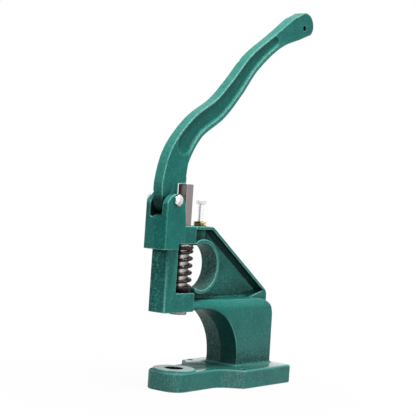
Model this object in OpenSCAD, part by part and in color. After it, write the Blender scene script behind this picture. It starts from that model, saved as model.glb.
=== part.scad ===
// Hand-lever eyelet machine, cast frame with a lever, a square ram and a return spring.
// Millimetres. Origin on the lower die bore, on the underside of the base.
// +X runs back to the heavy neck, -X to the open front, +Z up.

/* [Base] */
// Length of the foot plate from the front lobe to the back
base_len = 187.5; // [170:0.5:205]
// How far the front lobe reaches ahead of the die bore
base_front = 24.5; // [23.5:0.5:30]
// Width of the front lobe
lobe_w = 49; // [46:1:56]
// Width of the wide rear part
base_w = 91.4; // [86:0.2:104]
// Thickness of the foot plate
base_t = 21; // [14:0.5:24]
// Corner radius of the front lobe
lobe_r = 17; // [8:0.5:20]
// Radius of the other plan corners
base_r = 5; // [2:0.5:8]
// Where the sides start to flare out, from the die bore
waist_x = 53; // [40:1:56]
// How far the sides draw in towards the waist
waist_pinch = 1.4; // [0:0.2:2]
// Radius of the hollow bend at the waist
waist_r = 22; // [10:1:28]
// Where the full width starts, from the die bore
wide_x = 71; // [66:1:76]
// Diameter of the raised round land
pad_d = 46; // [34:0.5:46.5]
// Height of the raised round land
pad_rise = 1.8; // [1:0.2:5]
// Diameter of the lower die bore
die_bore_d = 20; // [12:0.5:24]
// Diameter of the two mounting holes
mount_hole_d = 6.5; // [4:0.5:9]
// Middle of each mounting hole, in from the side
mount_inset = 7.5; // [7:0.1:12]
// Mounting holes, back from the die bore
mount_x = 77.5; // [77:0.5:84]

/* [Throat and neck] */
// Radius of the open throat
throat_r = 57.7; // [52:0.1:59]
// Centre of the throat, back from the die bore
throat_x = 26.5; // [22:0.5:30]
// Centre of the throat, above the underside
throat_z = 29.5; // [26:0.5:30]
// Width of the neck
neck_w = 44; // [38:1:48]
// Back face of the neck
neck_back = 153; // [148:0.5:158]
// How far the back face leans in at the top
neck_lean = 1.4; // [0:0.2:3]
// Height of the neck's shoulder at its edge
shoulder_z = 97.8; // [95:0.2:100]
// Rise of the shoulder towards the middle web
shoulder_rise = 3.6; // [1:0.2:5]
// Radius of the neck's upper back corner
neck_corner_r = 26; // [8:1:28]

/* [Upright block] */
// Underside of the guide block
block_z = 84.4; // [80:0.2:86]
// Top of the guide block, the spring seat
seat_z = 105.2; // [103:0.2:110]
// Width of the block, the column and the gusset rim
block_w = 23; // [20:0.5:27]
// Front face of the column, ahead of the ram
column_front = 38; // [34:0.5:42]
// Back face of the column, ahead of the ram
column_back = 19.6; // [17:0.2:23]
// Back face of the guide block
block_back = 13.2; // [13:0.1:15]
// Radius of the column's front corners
column_r = 3; // [1:0.5:5]
// Underside of the arm that guides the ram
arm_z = 158; // [156:0.5:161]
// Top of the arm and of the gusset
arm_top = 177.5; // [172:0.5:182]
// Back face of the arm
arm_back = 9.8; // [9:0.1:12]

/* [Fork head] */
// Front face of the fork, ahead of the ram
fork_front = 48.9; // [46:0.1:52]
// Length of the fork from front to back
fork_len = 32; // [30:0.5:36]
// Width of the fork
fork_w = 30.8; // [28:0.2:34]
// Bottom of the skirt that laps the column
skirt_z = 151.7; // [149:0.1:155]
// Back end of the skirt, ahead of the ram
skirt_back = 24; // [22:0.5:30]
// How far the ears widen at their root
ear_flare = 2.4; // [0:0.2:4]
// Height of the middle of the round ears
ear_z = 195.4; // [192:0.2:198]
// Width of the slot between the ears
slot_w = 16; // [13.4:0.2:16.4]
// Floor of the slot
slot_z = 188.4; // [187:0.2:189]
// Bulge of the fork's front face
front_bulge = 1.4; // [0.4:0.2:3]

/* [Gusset and ring] */
// Thickness of the middle web
web_t = 8; // [6:0.5:10]
// Thickness of the rim round the web
rim_t = 3.6; // [2:0.2:5]
// Radius of the bend between flat top and slope
gusset_r = 7; // [4:0.5:9]
// Back end of the flat top
gusset_top_x = 40.1; // [38:0.1:50]
// Foot of the slope, back from the ram
gusset_end_x = 151.5; // [140:0.5:152]
// Foot of the slope, above the underside
gusset_end_z = 104; // [102:0.5:112]
// Radius of the gusset's outline at the foot of the slope
gusset_foot_r = 10; // [5:0.5:12]
// Centre of the ring, back from the ram
ring_x = 25; // [24:0.5:27]
// Centre of the ring, above the underside
ring_z = 133.6; // [132:0.2:135]
// Outer radius of the ring
ring_r = 29.9; // [29:0.1:30.5]
// Radius of the round window
window_r = 25.6; // [23:0.1:26]

/* [Lever] */
// Pivot, ahead of the ram
pivot_x = 32.6; // [31:0.1:34]
// Pivot, above the underside
pivot_z = 204.5; // [203:0.1:206]
// From the pivot to the middle of the grip end
lever_reach = 321; // [300:1:330]
// Lean of the lever at rest, above level
lever_lean = 42.8; // [38:0.1:46]
// Thickness of the lever at the fork
lever_t = 12.8; // [11:0.1:13]
// Thickness of the lever at the grip end
grip_t = 16; // [13:0.5:18]
// Radius of the round end at the pivot
heel_r = 14.8; // [13:0.1:15.2]
// Flat wall of the step, behind the pivot
step_back = 11.4; // [8:0.1:12]
// Height of the step above the pivot
step_up = 18.3; // [18:0.1:20]
// Reach of the nose behind the pivot
nose_back = 24.5; // [22:0.1:26]
// How far the pressing tongue reaches beyond the nose
tongue_reach = 3.1; // [2.5:0.1:6]
// Width of the pressing tongue
tongue_w = 8; // [5:0.5:9]
// Height of the pressing tongue
tongue_t = 7; // [4:0.5:8]
// Width of the flange along the front edge
front_flange = 2.8; // [2:0.2:6]
// Width of the flange along the under edge
under_flange = 6.2; // [4:0.2:8]
// Thickness of the thin web between the flanges
lever_web = 6.8; // [5:0.2:9]
// Radius of the grip end
grip_r = 16; // [14:0.5:18]
// Diameter of the hole in the grip end
grip_hole_d = 6; // [3:0.5:8]
// Hole in the grip end, short of the end's middle
grip_hole_back = 4.5; // [0:0.5:8]

/* [Ram and spring] */
// Side of the square ram bar
ram_side = 12; // [10:0.2:12.4]
// Gap between the ram's top and the lever's tongue at rest
tongue_gap = 0.4; // [0.4:0.1:2]
// Diameter of the round rod inside the spring
rod_d = 16.4; // [12:0.2:16.6]
// Diameter of the collar under the arm
collar_d = 20.8; // [19:0.2:23]
// Thickness of the collar
collar_t = 1; // [0.8:0.1:1.5]
// Diameter of the die holder
holder_d = 19; // [16:0.5:19]
// How far the die holder shows below the block
holder_show = 3.2; // [1:0.2:6]
// Drill diameter of the tapped die socket
socket_d = 6.8; // [5:0.1:8]
// Depth of the tapped die socket
socket_depth = 10; // [6:0.5:10.5]
// Diameter of the spigot that joins rod and holder
spigot_d = 9; // [6:0.5:9.5]
// Length of the spigot
spigot_len = 11; // [8:0.5:11.5]
// Wire diameter of the return spring
wire_d = 3.6; // [3.2:0.1:3.7]
// Outer diameter of the return spring
spring_d = 25.4; // [25:0.1:25.6]
// Turns of the return spring
spring_turns = 7; // [6:0.25:7.5]
// Gap between the closed end turns
end_gap = 0.5; // [0.4:0.05:0.8]
// Direction in which the wire's lower end points
spring_start = 307; // [0:1:359]
// Outer diameter of the spring washer
washer_d = 24; // [22:0.5:25]
// Thickness of the spring washer
washer_t = 0.8; // [0.6:0.1:1]

/* [Fasteners] */
// Shank diameter of the pivot bolt
pivot_d = 8; // [6:0.5:9]
// Width across flats of the pivot bolt
pivot_af = 11.8; // [10:0.1:13]
// Height of the pivot bolt's head
pivot_head_t = 4.6; // [3:0.2:6]
// Thickness of the pivot nut
pivot_nut_t = 5; // [4:0.2:7]
// Outer diameter of the plain washer
plain_washer_d = 16; // [14:0.5:18]
// Thickness of the plain washer
plain_washer_t = 1.4; // [1:0.1:2]
// Bolt end that shows beyond the nut
pivot_show = 2; // [0.5:0.5:4]
// Shank diameter of the adjusting bolt
adjust_d = 6; // [5:0.5:8]
// Adjusting bolt, behind the ram
adjust_x = 28.7; // [26:0.1:31]
// Underside of the adjusting bolt's head
adjust_head_z = 201.5; // [188:0.5:204]
// Height of the adjusting bolt's head
adjust_head_t = 4; // [3.5:0.1:6]
// Width across flats of the adjusting bolt's head
adjust_af = 10; // [9:0.5:13]
// Width across flats of the lock nut
lock_nut_af = 13; // [11:0.5:14]
// Thickness of the lock nut
lock_nut_t = 4.8; // [3.5:0.1:7]
// Radius of the boss round the adjusting bolt
boss_r = 7; // [6:0.5:9]
// Depth of the adjusting bolt's hole
adjust_depth = 11.5; // [9:0.5:12]

/* [Fits] */
// Running clearance on a radius
run_gap = 0.05; // [0.02:0.01:0.1]
// Clearance between pieces that pass each other
free_gap = 0.3; // [0.2:0.05:0.5]

/* [Hidden] */
$fn = 72;
over = pad_rise / 2;
hex_fn = 6;
half = 1 / 2;
block_hw = block_w * half;
fork_hw = fork_w * half;
neck_hw = neck_w * half;
web_hw = web_t * half;
base_back = base_len - base_front;
fork_back = fork_front - fork_len;
ear_r = fork_len * half;
ear_x = fork_front - ear_r;
rod_r = rod_d * half;
holder_top = seat_z - free_gap;
holder_bottom = block_z - holder_show;
ram_top = pivot_z + step_up - tongue_gap;
collar_z = arm_z - free_gap - collar_t;
shank_r = pivot_d * half;
adjust_r = adjust_d * half;
spring_low = seat_z + free_gap;
spring_high = collar_z - washer_t;
nut_y = fork_hw + plain_washer_t;
green = [0.16, 0.44, 0.40];
steel = [0.74, 0.73, 0.72];
dark_steel = [0.16, 0.15, 0.15];
brass = [0.72, 0.58, 0.30];

// Points of a closed outline whose corners are rounded with arcs.
// Each corner is [x, y, radius]; arc_steps is the number of pieces in one arc.
function unit(v) = v / norm(v);
function corner_arc(a, p, b, r, arc_steps) =
    let (u = unit([a[0] - p[0], a[1] - p[1]]),
         v = unit([b[0] - p[0], b[1] - p[1]]),
         open = acos(u * v),
         run = r / tan(open * half),
         mid = [p[0], p[1]] + unit(u + v) * r / sin(open * half),
         from = [p[0], p[1]] + u * run,
         to = [p[0], p[1]] + v * run,
         a0 = atan2(from[1] - mid[1], from[0] - mid[0]),
         a1 = atan2(to[1] - mid[1], to[0] - mid[0]),
         turn = a1 - a0 > 180 ? a1 - a0 - 360 : a1 - a0 < -180 ? a1 - a0 + 360 : a1 - a0)
    [for (i = [0:arc_steps]) mid + r * [cos(a0 + turn * i / arc_steps), sin(a0 + turn * i / arc_steps)]];
function rounded(p, arc_steps = 8) =
    let (n = len(p))
    [for (i = [0:n - 1])
        each (p[i][2] > 0
            ? corner_arc(p[(i + n - 1) % n], p[i], p[(i + 1) % n], p[i][2], arc_steps)
            : [[p[i][0], p[i][1]]])];

// A side profile drawn in X and Z, given its width along Y.
module side_plate(points, width) {
    rotate([90, 0, 0])
        translate([0, 0, -width * half])
            linear_extrude(width)
                polygon(points);
}

// A round bar along Y between two stations.
module cross_bar(x, z, r, y0, y1) {
    translate([x, y1, z])
        rotate([90, 0, 0])
            cylinder(h = y1 - y0, r = r);
}

// A hexagon bar, standing on z with a corner towards X.
module hex_bar(flats, tall) {
    cylinder(h = tall, d = flats / cos(180 / hex_fn), $fn = hex_fn);
}

// Plan of the foot plate: front lobe, waist and wide rear part.
function base_half() = [
    [-base_front, lobe_w * half, lobe_r],
    [waist_x, lobe_w * half - waist_pinch, waist_r],
    [wide_x, base_w * half, base_r],
    [base_back, base_w * half, base_r]];
function mirrored(p) = [for (i = [len(p) - 1:-1:0]) [p[i][0], -p[i][1], p[i][2]]];

module foot_plate() {
    linear_extrude(base_t)
        polygon(rounded(concat(base_half(), mirrored(base_half()))));
    cylinder(h = base_t + pad_rise, d = pad_d);
}

// The neck: flared in plan, hollowed by the throat, its shoulder sloped to the web.
flare_steps = 10;
function flare(x) =
    block_hw + (neck_hw - block_hw) * sin(90 * min(1, max(0, (x - block_back) / (wide_x - block_back))));
function flare_side(s) = [for (i = [0:flare_steps])
    let (x = block_back + (wide_x - block_back) * i / flare_steps) [x, s * flare(x)]];
function reversed(p) = [for (i = [len(p) - 1:-1:0]) p[i]];

module neck() {
    top = shoulder_z + shoulder_rise;
    back_profile = rounded([
        [arm_back, base_t - over, 0],
        [arm_back, top, 0],
        [neck_back - neck_lean, top, neck_corner_r],
        [neck_back, base_t - over, 0]]);
    section = [
        [-neck_hw, 0], [-neck_hw, shoulder_z], [-web_hw, top],
        [web_hw, top], [neck_hw, shoulder_z], [neck_hw, 0]];
    intersection() {
        difference() {
            side_plate(back_profile, neck_w + over);
            cross_bar(throat_x, throat_z, throat_r, -neck_w, neck_w);
        }
        linear_extrude(top + over)
            polygon(concat(
                [[block_back - block_w, -block_hw]], flare_side(-1), [[neck_back + over, -neck_hw]],
                [[neck_back + over, neck_hw]], reversed(flare_side(1)), [[block_back - block_w, block_hw]]));
        translate([throat_x - throat_r, 0, 0])
            rotate([90, 0, 90])
                linear_extrude(base_len)
                    polygon(section);
    }
}

// Plan of the upright: block, column and arm share it.
module upright(back, z0, z1) {
    translate([0, 0, z0])
        linear_extrude(z1 - z0)
            polygon(rounded([
                [-column_front, block_hw, column_r],
                [back, block_hw, 0],
                [back, -block_hw, 0],
                [-column_front, -block_hw, column_r]]));
}

module block_and_column() {
    upright(block_back, block_z, seat_z);
    upright(arm_back, seat_z - over, arm_top);
}

// The fork: a slightly bulged front, round ears and a skirt over the column.
module fork_head() {
    rise = ear_z + ear_r - skirt_z;
    ear_side = concat(
        [[-fork_front, skirt_z]],
        [for (i = [0:24]) [-ear_x - ear_r * cos(180 * i / 24), ear_z + ear_r * sin(180 * i / 24)]],
        [[-fork_back + ear_flare, arm_top], [-fork_back + ear_flare, arm_z],
         [-skirt_back, arm_z], [-skirt_back, skirt_z]]);
    intersection() {
        side_plate(ear_side, fork_w + over);
        translate([0, 0, skirt_z - over])
            linear_extrude(rise + over * 2)
                polygon(rounded([
                    [-fork_front, 0, fork_w * 2],
                    [-fork_front + front_bulge, fork_hw, column_r],
                    [0, fork_hw, 0],
                    [0, -fork_hw, 0],
                    [-fork_front + front_bulge, -fork_hw, column_r]]));
    }
}

// The gusset: outline of the sloped plate, and the same set in by the rim.
function gusset(inset) =
    let (slope = atan2(arm_top - gusset_end_z, gusset_end_x - gusset_top_x),
         bend = inset * tan(slope * half),
         foot = inset * tan((90 - slope) * half))
    [[arm_back - over, shoulder_z, 0],
     [arm_back - over, arm_top - inset, 0],
     [gusset_top_x - bend, arm_top - inset, gusset_r - inset],
     [gusset_end_x - inset, gusset_end_z - foot, gusset_foot_r - inset],
     [gusset_end_x - inset, shoulder_z - neck_corner_r, 0],
     [neck_back - neck_corner_r * 2, shoulder_z, 0]];

module gusset_plate() {
    side_plate(rounded(gusset(0)), web_t);
    difference() {
        side_plate(rounded(gusset(0)), block_w);
        side_plate(rounded(gusset(rim_t)), block_w + over);
    }
    intersection() {
        cross_bar(ring_x, ring_z, ring_r, -block_hw, block_hw);
        translate([arm_back - over, -block_w, seat_z - over])
            cube([ring_r * 2, block_w * 2, arm_z - seat_z + over + rim_t * 2]);
    }
    translate([adjust_x, 0, ring_z + ring_r - over])
        cylinder(h = arm_top - ring_z - ring_r + over, r = boss_r);
}

module frame_casting() {
    slide = ram_side + free_gap * 2;
    color(green)
        difference() {
            union() {
                foot_plate();
                neck();
                block_and_column();
                fork_head();
                gusset_plate();
            }
            translate([-column_back, -block_w, seat_z])
                cube([column_back + block_back, block_w * 2, arm_z - seat_z]);
            cross_bar(ring_x, ring_z, window_r, -block_w, block_w);
            translate([-fork_front - over, -slot_w * half, slot_z])
                cube([fork_len + ear_flare + over * 2, slot_w, fork_len]);
            cross_bar(-pivot_x, pivot_z, shank_r + run_gap, -fork_w, fork_w);
            translate([-slide * half, -slide * half, arm_z - over])
                cube([slide, slide, arm_top - arm_z + over * 2]);
            translate([0, 0, block_z - over])
                cylinder(h = seat_z - block_z + over * 2, r = holder_d * half + run_gap);
            translate([0, 0, -over])
                cylinder(h = base_t + pad_rise + over * 2, d = die_bore_d);
            for (side = [-1, 1])
                translate([mount_x, side * (base_w * half - mount_inset), -over])
                    cylinder(h = base_t + over * 2, d = mount_hole_d);
            translate([adjust_x, 0, arm_top - adjust_depth])
                cylinder(h = adjust_depth + over, r = adjust_r + run_gap);
        }
}

// The lever's curve: stations along the line from pivot to grip, as shares of the
// reach, with the rise of the spine and the half depth there.
along_share = [0.0, 0.045, 0.128, 0.256, 0.396, 0.520, 0.658, 0.822, 0.944, 1.0];
rise_share = [0.0, 0.033, 0.084, 0.1005, 0.0735, 0.073, 0.081, 0.057, 0.022, 0.0];
depth_share = [0.0465, 0.058, 0.0517, 0.042, 0.0405, 0.0386, 0.0343, 0.0296, 0.043, 0.0485];
lever_steps = 5;
function smooth(a, b, c, d, t) =
    (2 * b + (c - a) * t + (2 * a - 5 * b + 4 * c - d) * t * t
        + (3 * b - a - 3 * c + d) * t * t * t) * half;
function at_share(list, s) =
    let (last = len(list) - 1,
         i = min(last - 1, floor(s)))
    smooth(list[max(0, i - 1)], list[i], list[i + 1], list[min(last, i + 2)], s - i);
function spine(s) = [at_share(along_share, s), at_share(rise_share, s)] * lever_reach;
function spine_normal(s) =
    let (eps = 1 / 100,
         d = unit(spine(min(len(along_share) - 1, s + eps)) - spine(max(0, s - eps))))
    [-d[1], d[0]];
function depth(s) = at_share(depth_share, s) * lever_reach;
function edge(s, side, inset) = spine(s) + spine_normal(s) * side * (depth(s) - inset);

// Turns a point of the lever's own line into the part's X and Z.
function placed(p) =
    [-pivot_x + p[0] * cos(lever_lean) - p[1] * sin(lever_lean),
     pivot_z + p[0] * sin(lever_lean) + p[1] * cos(lever_lean)];
last_station = len(along_share) - 1;
grip_start = last_station - 1;
edge_count = grip_start * lever_steps;
under_start = 2 * lever_steps;
grip_steps = 15;

// Outline of the blade above the step: front edge up, round the grip, under edge down.
// It stops at the step's level, where the pivot end takes over.
function blade() = concat(
    [for (i = [0:edge_count]) placed(edge(i / lever_steps, 1, 0))],
    [for (i = [0:grip_steps]) let (a = 80 - 180 * i / grip_steps,
                                   r = grip_r * (1 - pow(max(0, -a - 30) / 70, 2) / 5))
        placed([lever_reach, 0] + r * [cos(a), sin(a)])],
    [for (i = [edge_count:-1:under_start]) placed(edge(i / lever_steps, -1, 0))]);

// The round heel: from the foot of the step's wall, under the pivot, to the front edge.
heel_steps = 24;
function heel() =
    let (front = placed(edge(0, 1, 0)) - [-pivot_x, pivot_z],
         from = -acos(step_back / heel_r),
         to = atan2(front[1], front[0]) - 360)
    [for (i = [0:heel_steps - 1])
        let (a = from + (to - from) * i / heel_steps,
             r = heel_r + (norm(front) - heel_r) * i / heel_steps)
        [-pivot_x + r * cos(a), pivot_z + r * sin(a)]];

module lever_side() {
    step_z = pivot_z + step_up;
    tip = -pivot_x + nose_back;
    wall = -pivot_x + step_back;
    difference() {
        polygon(concat(blade(), [
            [tip, step_z + step_up * half], [tip, step_z], [wall, step_z]], heel()));
        translate([-pivot_x, pivot_z])
            circle(r = shank_r + run_gap);
        translate(placed([lever_reach - grip_hole_back, 0]))
            circle(d = grip_hole_d);
    }
}

// The hollow in each side of the lever, between its two flanges.
hollow_from = 2.35;
hollow_to = 6.9;
hollow_steps = 24;
module lever_hollow() {
    span = hollow_to - hollow_from;
    up = [for (i = [0:hollow_steps]) let (s = hollow_from + span * i / hollow_steps)
        placed(edge(s, 1, front_flange))];
    down = [for (i = [hollow_steps:-1:0]) let (s = hollow_from + span * i / hollow_steps)
        placed(edge(s, -1, under_flange))];
    polygon(concat(up, down));
    low = (placed(edge(hollow_from, 1, front_flange)) + placed(edge(hollow_from, -1, under_flange))) * half;
    translate(low)
        circle(r = depth(hollow_from) - (front_flange + under_flange) * half);
    high = (placed(edge(hollow_to, 1, front_flange)) + placed(edge(hollow_to, -1, under_flange))) * half;
    translate(high)
        circle(r = depth(hollow_to) - (front_flange + under_flange) * half);
}

module handle_lever() {
    far = -pivot_x + lever_reach * cos(lever_lean) + grip_r;
    top = pivot_z + lever_reach + grip_r;
    color(green)
        translate([-pivot_x + nose_back - tongue_w * half, -tongue_w * half, pivot_z + step_up])
            cube([tongue_w * half + tongue_reach, tongue_w, tongue_t]);
    color(green)
        difference() {
            intersection() {
                rotate([90, 0, 0])
                    translate([0, 0, -grip_t * half])
                        linear_extrude(grip_t)
                            lever_side();
                linear_extrude(top)
                    polygon([
                        [-pivot_x - heel_r * 2, -lever_t * half], [-pivot_x + lever_reach * half, -lever_t * half],
                        [far, -grip_t * half], [far, grip_t * half],
                        [-pivot_x + lever_reach * half, lever_t * half], [-pivot_x - heel_r * 2, lever_t * half]]);
            }
            for (side = [-1, 1])
                translate([0, side * (lever_web + grip_t) * half, 0])
                    rotate([90, 0, 0])
                        translate([0, 0, -grip_t * half])
                            linear_extrude(grip_t)
                                lever_hollow();
        }
}

module pivot_bolt() {
    color(steel) {
        translate([-pivot_x, -fork_hw, pivot_z])
            rotate([90, 30, 0])
                hex_bar(pivot_af, pivot_head_t);
        cross_bar(-pivot_x, pivot_z, shank_r, -fork_hw, nut_y + pivot_nut_t + pivot_show);
    }
}

module pivot_washer() {
    color(steel)
        difference() {
            cross_bar(-pivot_x, pivot_z, plain_washer_d * half, fork_hw, nut_y);
            cross_bar(-pivot_x, pivot_z, shank_r + free_gap, -fork_hw, nut_y + over);
        }
}

module pivot_nut() {
    color(steel)
        difference() {
            translate([-pivot_x, nut_y, pivot_z])
                rotate([-90, 30, 0])
                    hex_bar(pivot_af, pivot_nut_t);
            cross_bar(-pivot_x, pivot_z, shank_r + run_gap, -fork_hw, nut_y + pivot_nut_t + over);
        }
}

// One bar: square above, where the arm guides it, then a collar that carries the spring's
// washer, and round inside the spring.
module ram_shaft() {
    color(steel) {
        translate([-ram_side * half, -ram_side * half, collar_z])
            cube([ram_side, ram_side, ram_top - collar_z]);
        translate([0, 0, collar_z])
            cylinder(h = collar_t, d = collar_d);
        translate([0, 0, holder_top])
            cylinder(h = collar_z - holder_top, r = rod_r);
        translate([0, 0, holder_top - spigot_len])
            cylinder(h = spigot_len, d = spigot_d);
    }
}

// The die holder slides in the block and carries the upper die in a tapped socket.
module die_holder() {
    color(steel)
        difference() {
            translate([0, 0, holder_bottom])
                cylinder(h = holder_top - holder_bottom, d = holder_d);
            translate([0, 0, holder_top - spigot_len - free_gap])
                cylinder(h = spigot_len + free_gap + over, r = spigot_d * half + run_gap);
            translate([0, 0, holder_bottom - over])
                cylinder(h = socket_depth + over, d = socket_d);
        }
}

module spring_washer() {
    color(steel)
        translate([0, 0, collar_z - washer_t])
            difference() {
                cylinder(h = washer_t, d = washer_d);
                translate([0, 0, -over])
                    cylinder(h = washer_t + over * 2, r = rod_r + free_gap);
            }
}

// The spring: one tube along a helix whose end turns are closed.
rings_per_turn = 8;
tube_sides = 6;
closed_turns = 1;
coil_r = (spring_d - wire_d) * half;
tube_r = wire_d * half;
coil_low = spring_low + tube_r;
coil_rise = spring_high - spring_low - wire_d;
end_pitch = wire_d + end_gap;
main_pitch = (coil_rise - 2 * closed_turns * end_pitch) / (spring_turns - 2 * closed_turns);
function coil_z(t) =
    coil_low + (t < closed_turns ? t * end_pitch
        : t > spring_turns - closed_turns ? coil_rise - (spring_turns - t) * end_pitch
        : closed_turns * end_pitch + (t - closed_turns) * main_pitch);
ring_count = spring_turns * rings_per_turn;
function ring_points(k) =
    let (t = k / rings_per_turn,
         a = 360 * t + spring_start)
    [for (j = [0:tube_sides - 1]) let (b = 360 * j / tube_sides + 90)
        [(coil_r + tube_r * cos(b)) * cos(a), (coil_r + tube_r * cos(b)) * sin(a), coil_z(t) + tube_r * sin(b)]];
spring_points = [for (k = [0:ring_count]) each ring_points(k)];
spring_faces = concat(
    [for (j = [1:tube_sides - 2]) [0, j, j + 1]],
    [for (k = [0:ring_count - 1]) for (j = [0:tube_sides - 1]) each
        let (a = k * tube_sides + j,
             b = k * tube_sides + (j + 1) % tube_sides)
        [[a, a + tube_sides, b], [b, a + tube_sides, b + tube_sides]]],
    [for (j = [1:tube_sides - 2]) let (e = ring_count * tube_sides) [e, e + j + 1, e + j]]);

// Least distance between points of the tube that lie most of a turn apart.
spring_gap = min([for (k = [0:ring_count - rings_per_turn + 1])
    for (m = [k + rings_per_turn - 1:min(ring_count, k + rings_per_turn + 1)])
        for (p = ring_points(k)) for (q = ring_points(m)) norm(p - q)]);
echo(spring_gap = spring_gap);

module return_spring() {
    color(dark_steel)
        polyhedron(points = spring_points, faces = spring_faces, convexity = 10);
}

module adjusting_bolt() {
    color(steel)
        translate([adjust_x, 0, 0]) {
            translate([0, 0, adjust_head_z])
                hex_bar(adjust_af, adjust_head_t);
            translate([0, 0, arm_top - adjust_depth + free_gap])
                cylinder(h = adjust_head_z - arm_top + adjust_depth - free_gap, r = adjust_r);
        }
}

module lock_nut() {
    color(brass)
        translate([adjust_x, 0, arm_top])
            difference() {
                rotate(45)
                    hex_bar(lock_nut_af, lock_nut_t);
                translate([0, 0, -over])
                    cylinder(h = lock_nut_t + over * 2, r = adjust_r + run_gap);
            }
}

frame_casting();
handle_lever();
pivot_bolt();
pivot_washer();
pivot_nut();
ram_shaft();
die_holder();
spring_washer();
return_spring();
adjusting_bolt();
lock_nut();
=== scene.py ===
import math
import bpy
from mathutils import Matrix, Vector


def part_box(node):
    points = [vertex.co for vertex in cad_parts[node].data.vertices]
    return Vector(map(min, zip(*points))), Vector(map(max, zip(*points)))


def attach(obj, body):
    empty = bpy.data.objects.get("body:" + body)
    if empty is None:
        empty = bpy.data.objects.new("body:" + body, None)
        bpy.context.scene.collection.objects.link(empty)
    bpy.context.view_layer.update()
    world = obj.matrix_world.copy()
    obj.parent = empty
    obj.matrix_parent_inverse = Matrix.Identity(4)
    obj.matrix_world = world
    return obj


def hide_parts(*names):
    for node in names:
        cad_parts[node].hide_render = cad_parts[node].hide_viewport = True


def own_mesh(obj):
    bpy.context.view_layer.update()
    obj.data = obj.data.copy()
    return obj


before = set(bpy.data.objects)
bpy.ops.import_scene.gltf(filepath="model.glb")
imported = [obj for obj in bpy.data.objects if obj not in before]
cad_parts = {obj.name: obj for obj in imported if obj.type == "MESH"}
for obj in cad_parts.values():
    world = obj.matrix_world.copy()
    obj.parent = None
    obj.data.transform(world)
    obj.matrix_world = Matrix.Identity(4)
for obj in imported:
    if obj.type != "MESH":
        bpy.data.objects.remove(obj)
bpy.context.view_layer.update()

from concurrent.futures import ThreadPoolExecutor

import bpy
import numpy as np
from mathutils import Matrix, Vector

mm = 0.001
print("frame loaded:", len(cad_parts), "nodes")


# Shader and geometry maths written as plain expressions on sockets.
class Wire:
    def __init__(self, tree, socket=None):
        self.tree = tree
        self.socket = socket

    def feed(self, node, values):
        for key, value in values.items():
            if isinstance(value, Wire):
                self.tree.links.new(value.socket, node.inputs[key])
            else:
                node.inputs[key].default_value = value

    def node(self, kind, settings=None, inputs=None, out=0):
        made = self.tree.nodes.new(kind)
        for key, value in (settings or {}).items():
            setattr(made, key, value)
        self.feed(made, inputs or {})
        return Wire(self.tree, made.outputs[out])

    def maths(self, operation, *values):
        return self.node("ShaderNodeMath", {"operation": operation}, dict(enumerate(values)))

    def __add__(self, other): return self.maths("ADD", self, other)
    def __radd__(self, other): return self.maths("ADD", other, self)
    def __sub__(self, other): return self.maths("SUBTRACT", self, other)
    def __rsub__(self, other): return self.maths("SUBTRACT", other, self)
    def __mul__(self, other): return self.maths("MULTIPLY", self, other)
    def __rmul__(self, other): return self.maths("MULTIPLY", other, self)
    def __truediv__(self, other): return self.maths("DIVIDE", self, other)
    def least(self, other): return self.maths("MINIMUM", self, other)
    def most(self, other): return self.maths("MAXIMUM", self, other)
    def sine(self): return self.maths("SINE", self)
    def cosine(self): return self.maths("COSINE", self)
    def size(self): return self.maths("ABSOLUTE", self)

    def between(self, low, high):
        return self.node("ShaderNodeMapRange", {"interpolation_type": "SMOOTHSTEP"},
                         {"Value": self, "From Min": low, "From Max": high})

    def mix(self, one, two):
        return self.node("ShaderNodeMix", {"data_type": "RGBA"}, {0: self, 6: one, 7: two}, out=2)

    def parts(self):
        split = self.node("ShaderNodeSeparateXYZ", None, {0: self}).socket.node
        return [Wire(self.tree, socket) for socket in split.outputs]


# Solids as distance fields in millimetres: negative inside, with rounded joins and edges.
def outlineField(u, v, corners):
    u, v = np.broadcast_arrays(u, v)
    nearest = np.full(u.shape, 1e12, u.dtype)
    inside = np.zeros(u.shape, bool)
    for (ax, ay), (bx, by) in zip(corners, corners[1:] + corners[:1]):
        ex, ey = bx - ax, by - ay
        wx, wy = u - ax, v - ay
        along = np.clip((wx * ex + wy * ey) / (ex * ex + ey * ey), 0, 1)
        nearest = np.minimum(nearest, (wx - ex * along) ** 2 + (wy - ey * along) ** 2)
        if by != ay:
            inside ^= ((ay > v) != (by > v)) & (u < ax + (v - ay) * ex / ey)
    return np.where(inside, -1, 1).astype(u.dtype) * np.sqrt(nearest)


def weld(one, two, radius):
    return (np.maximum(radius, np.minimum(one, two))
            - np.hypot(np.maximum(radius - one, 0), np.maximum(radius - two, 0)))


def trim(one, two, radius):
    return (np.minimum(-radius, np.maximum(one, two))
            + np.hypot(np.maximum(radius + one, 0), np.maximum(radius + two, 0)))


def carve(body, tool, radius):
    return trim(body, -tool, radius)


def hexField(u, v, flats):
    third = math.pi / 3
    sides = [np.abs(u * math.cos(third * k) + v * math.sin(third * k)) for k in range(3)]
    return np.maximum(np.maximum(sides[0], sides[1]), sides[2]) - flats / 2


# Closed outlines whose corners [x, y, radius] are rounded with arcs.
def rounded(corners, arcSteps=8):
    points = []
    for k, (x, y, radius) in enumerate(corners):
        if radius <= 0:
            points.append((x, y))
            continue
        here = Vector((x, y))
        back = (Vector(corners[k - 1][:2]) - here).normalized()
        ahead = (Vector(corners[(k + 1) % len(corners)][:2]) - here).normalized()
        opening = back.angle(ahead)
        centre = here + (back + ahead).normalized() * radius / math.sin(opening / 2)
        start = here + back * radius / math.tan(opening / 2) - centre
        turn = start.angle_signed(here + ahead * radius / math.tan(opening / 2) - centre)
        points += [tuple(centre + Matrix.Rotation(-turn * i / arcSteps, 2) @ start)
                   for i in range(arcSteps + 1)]
    return points


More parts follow.
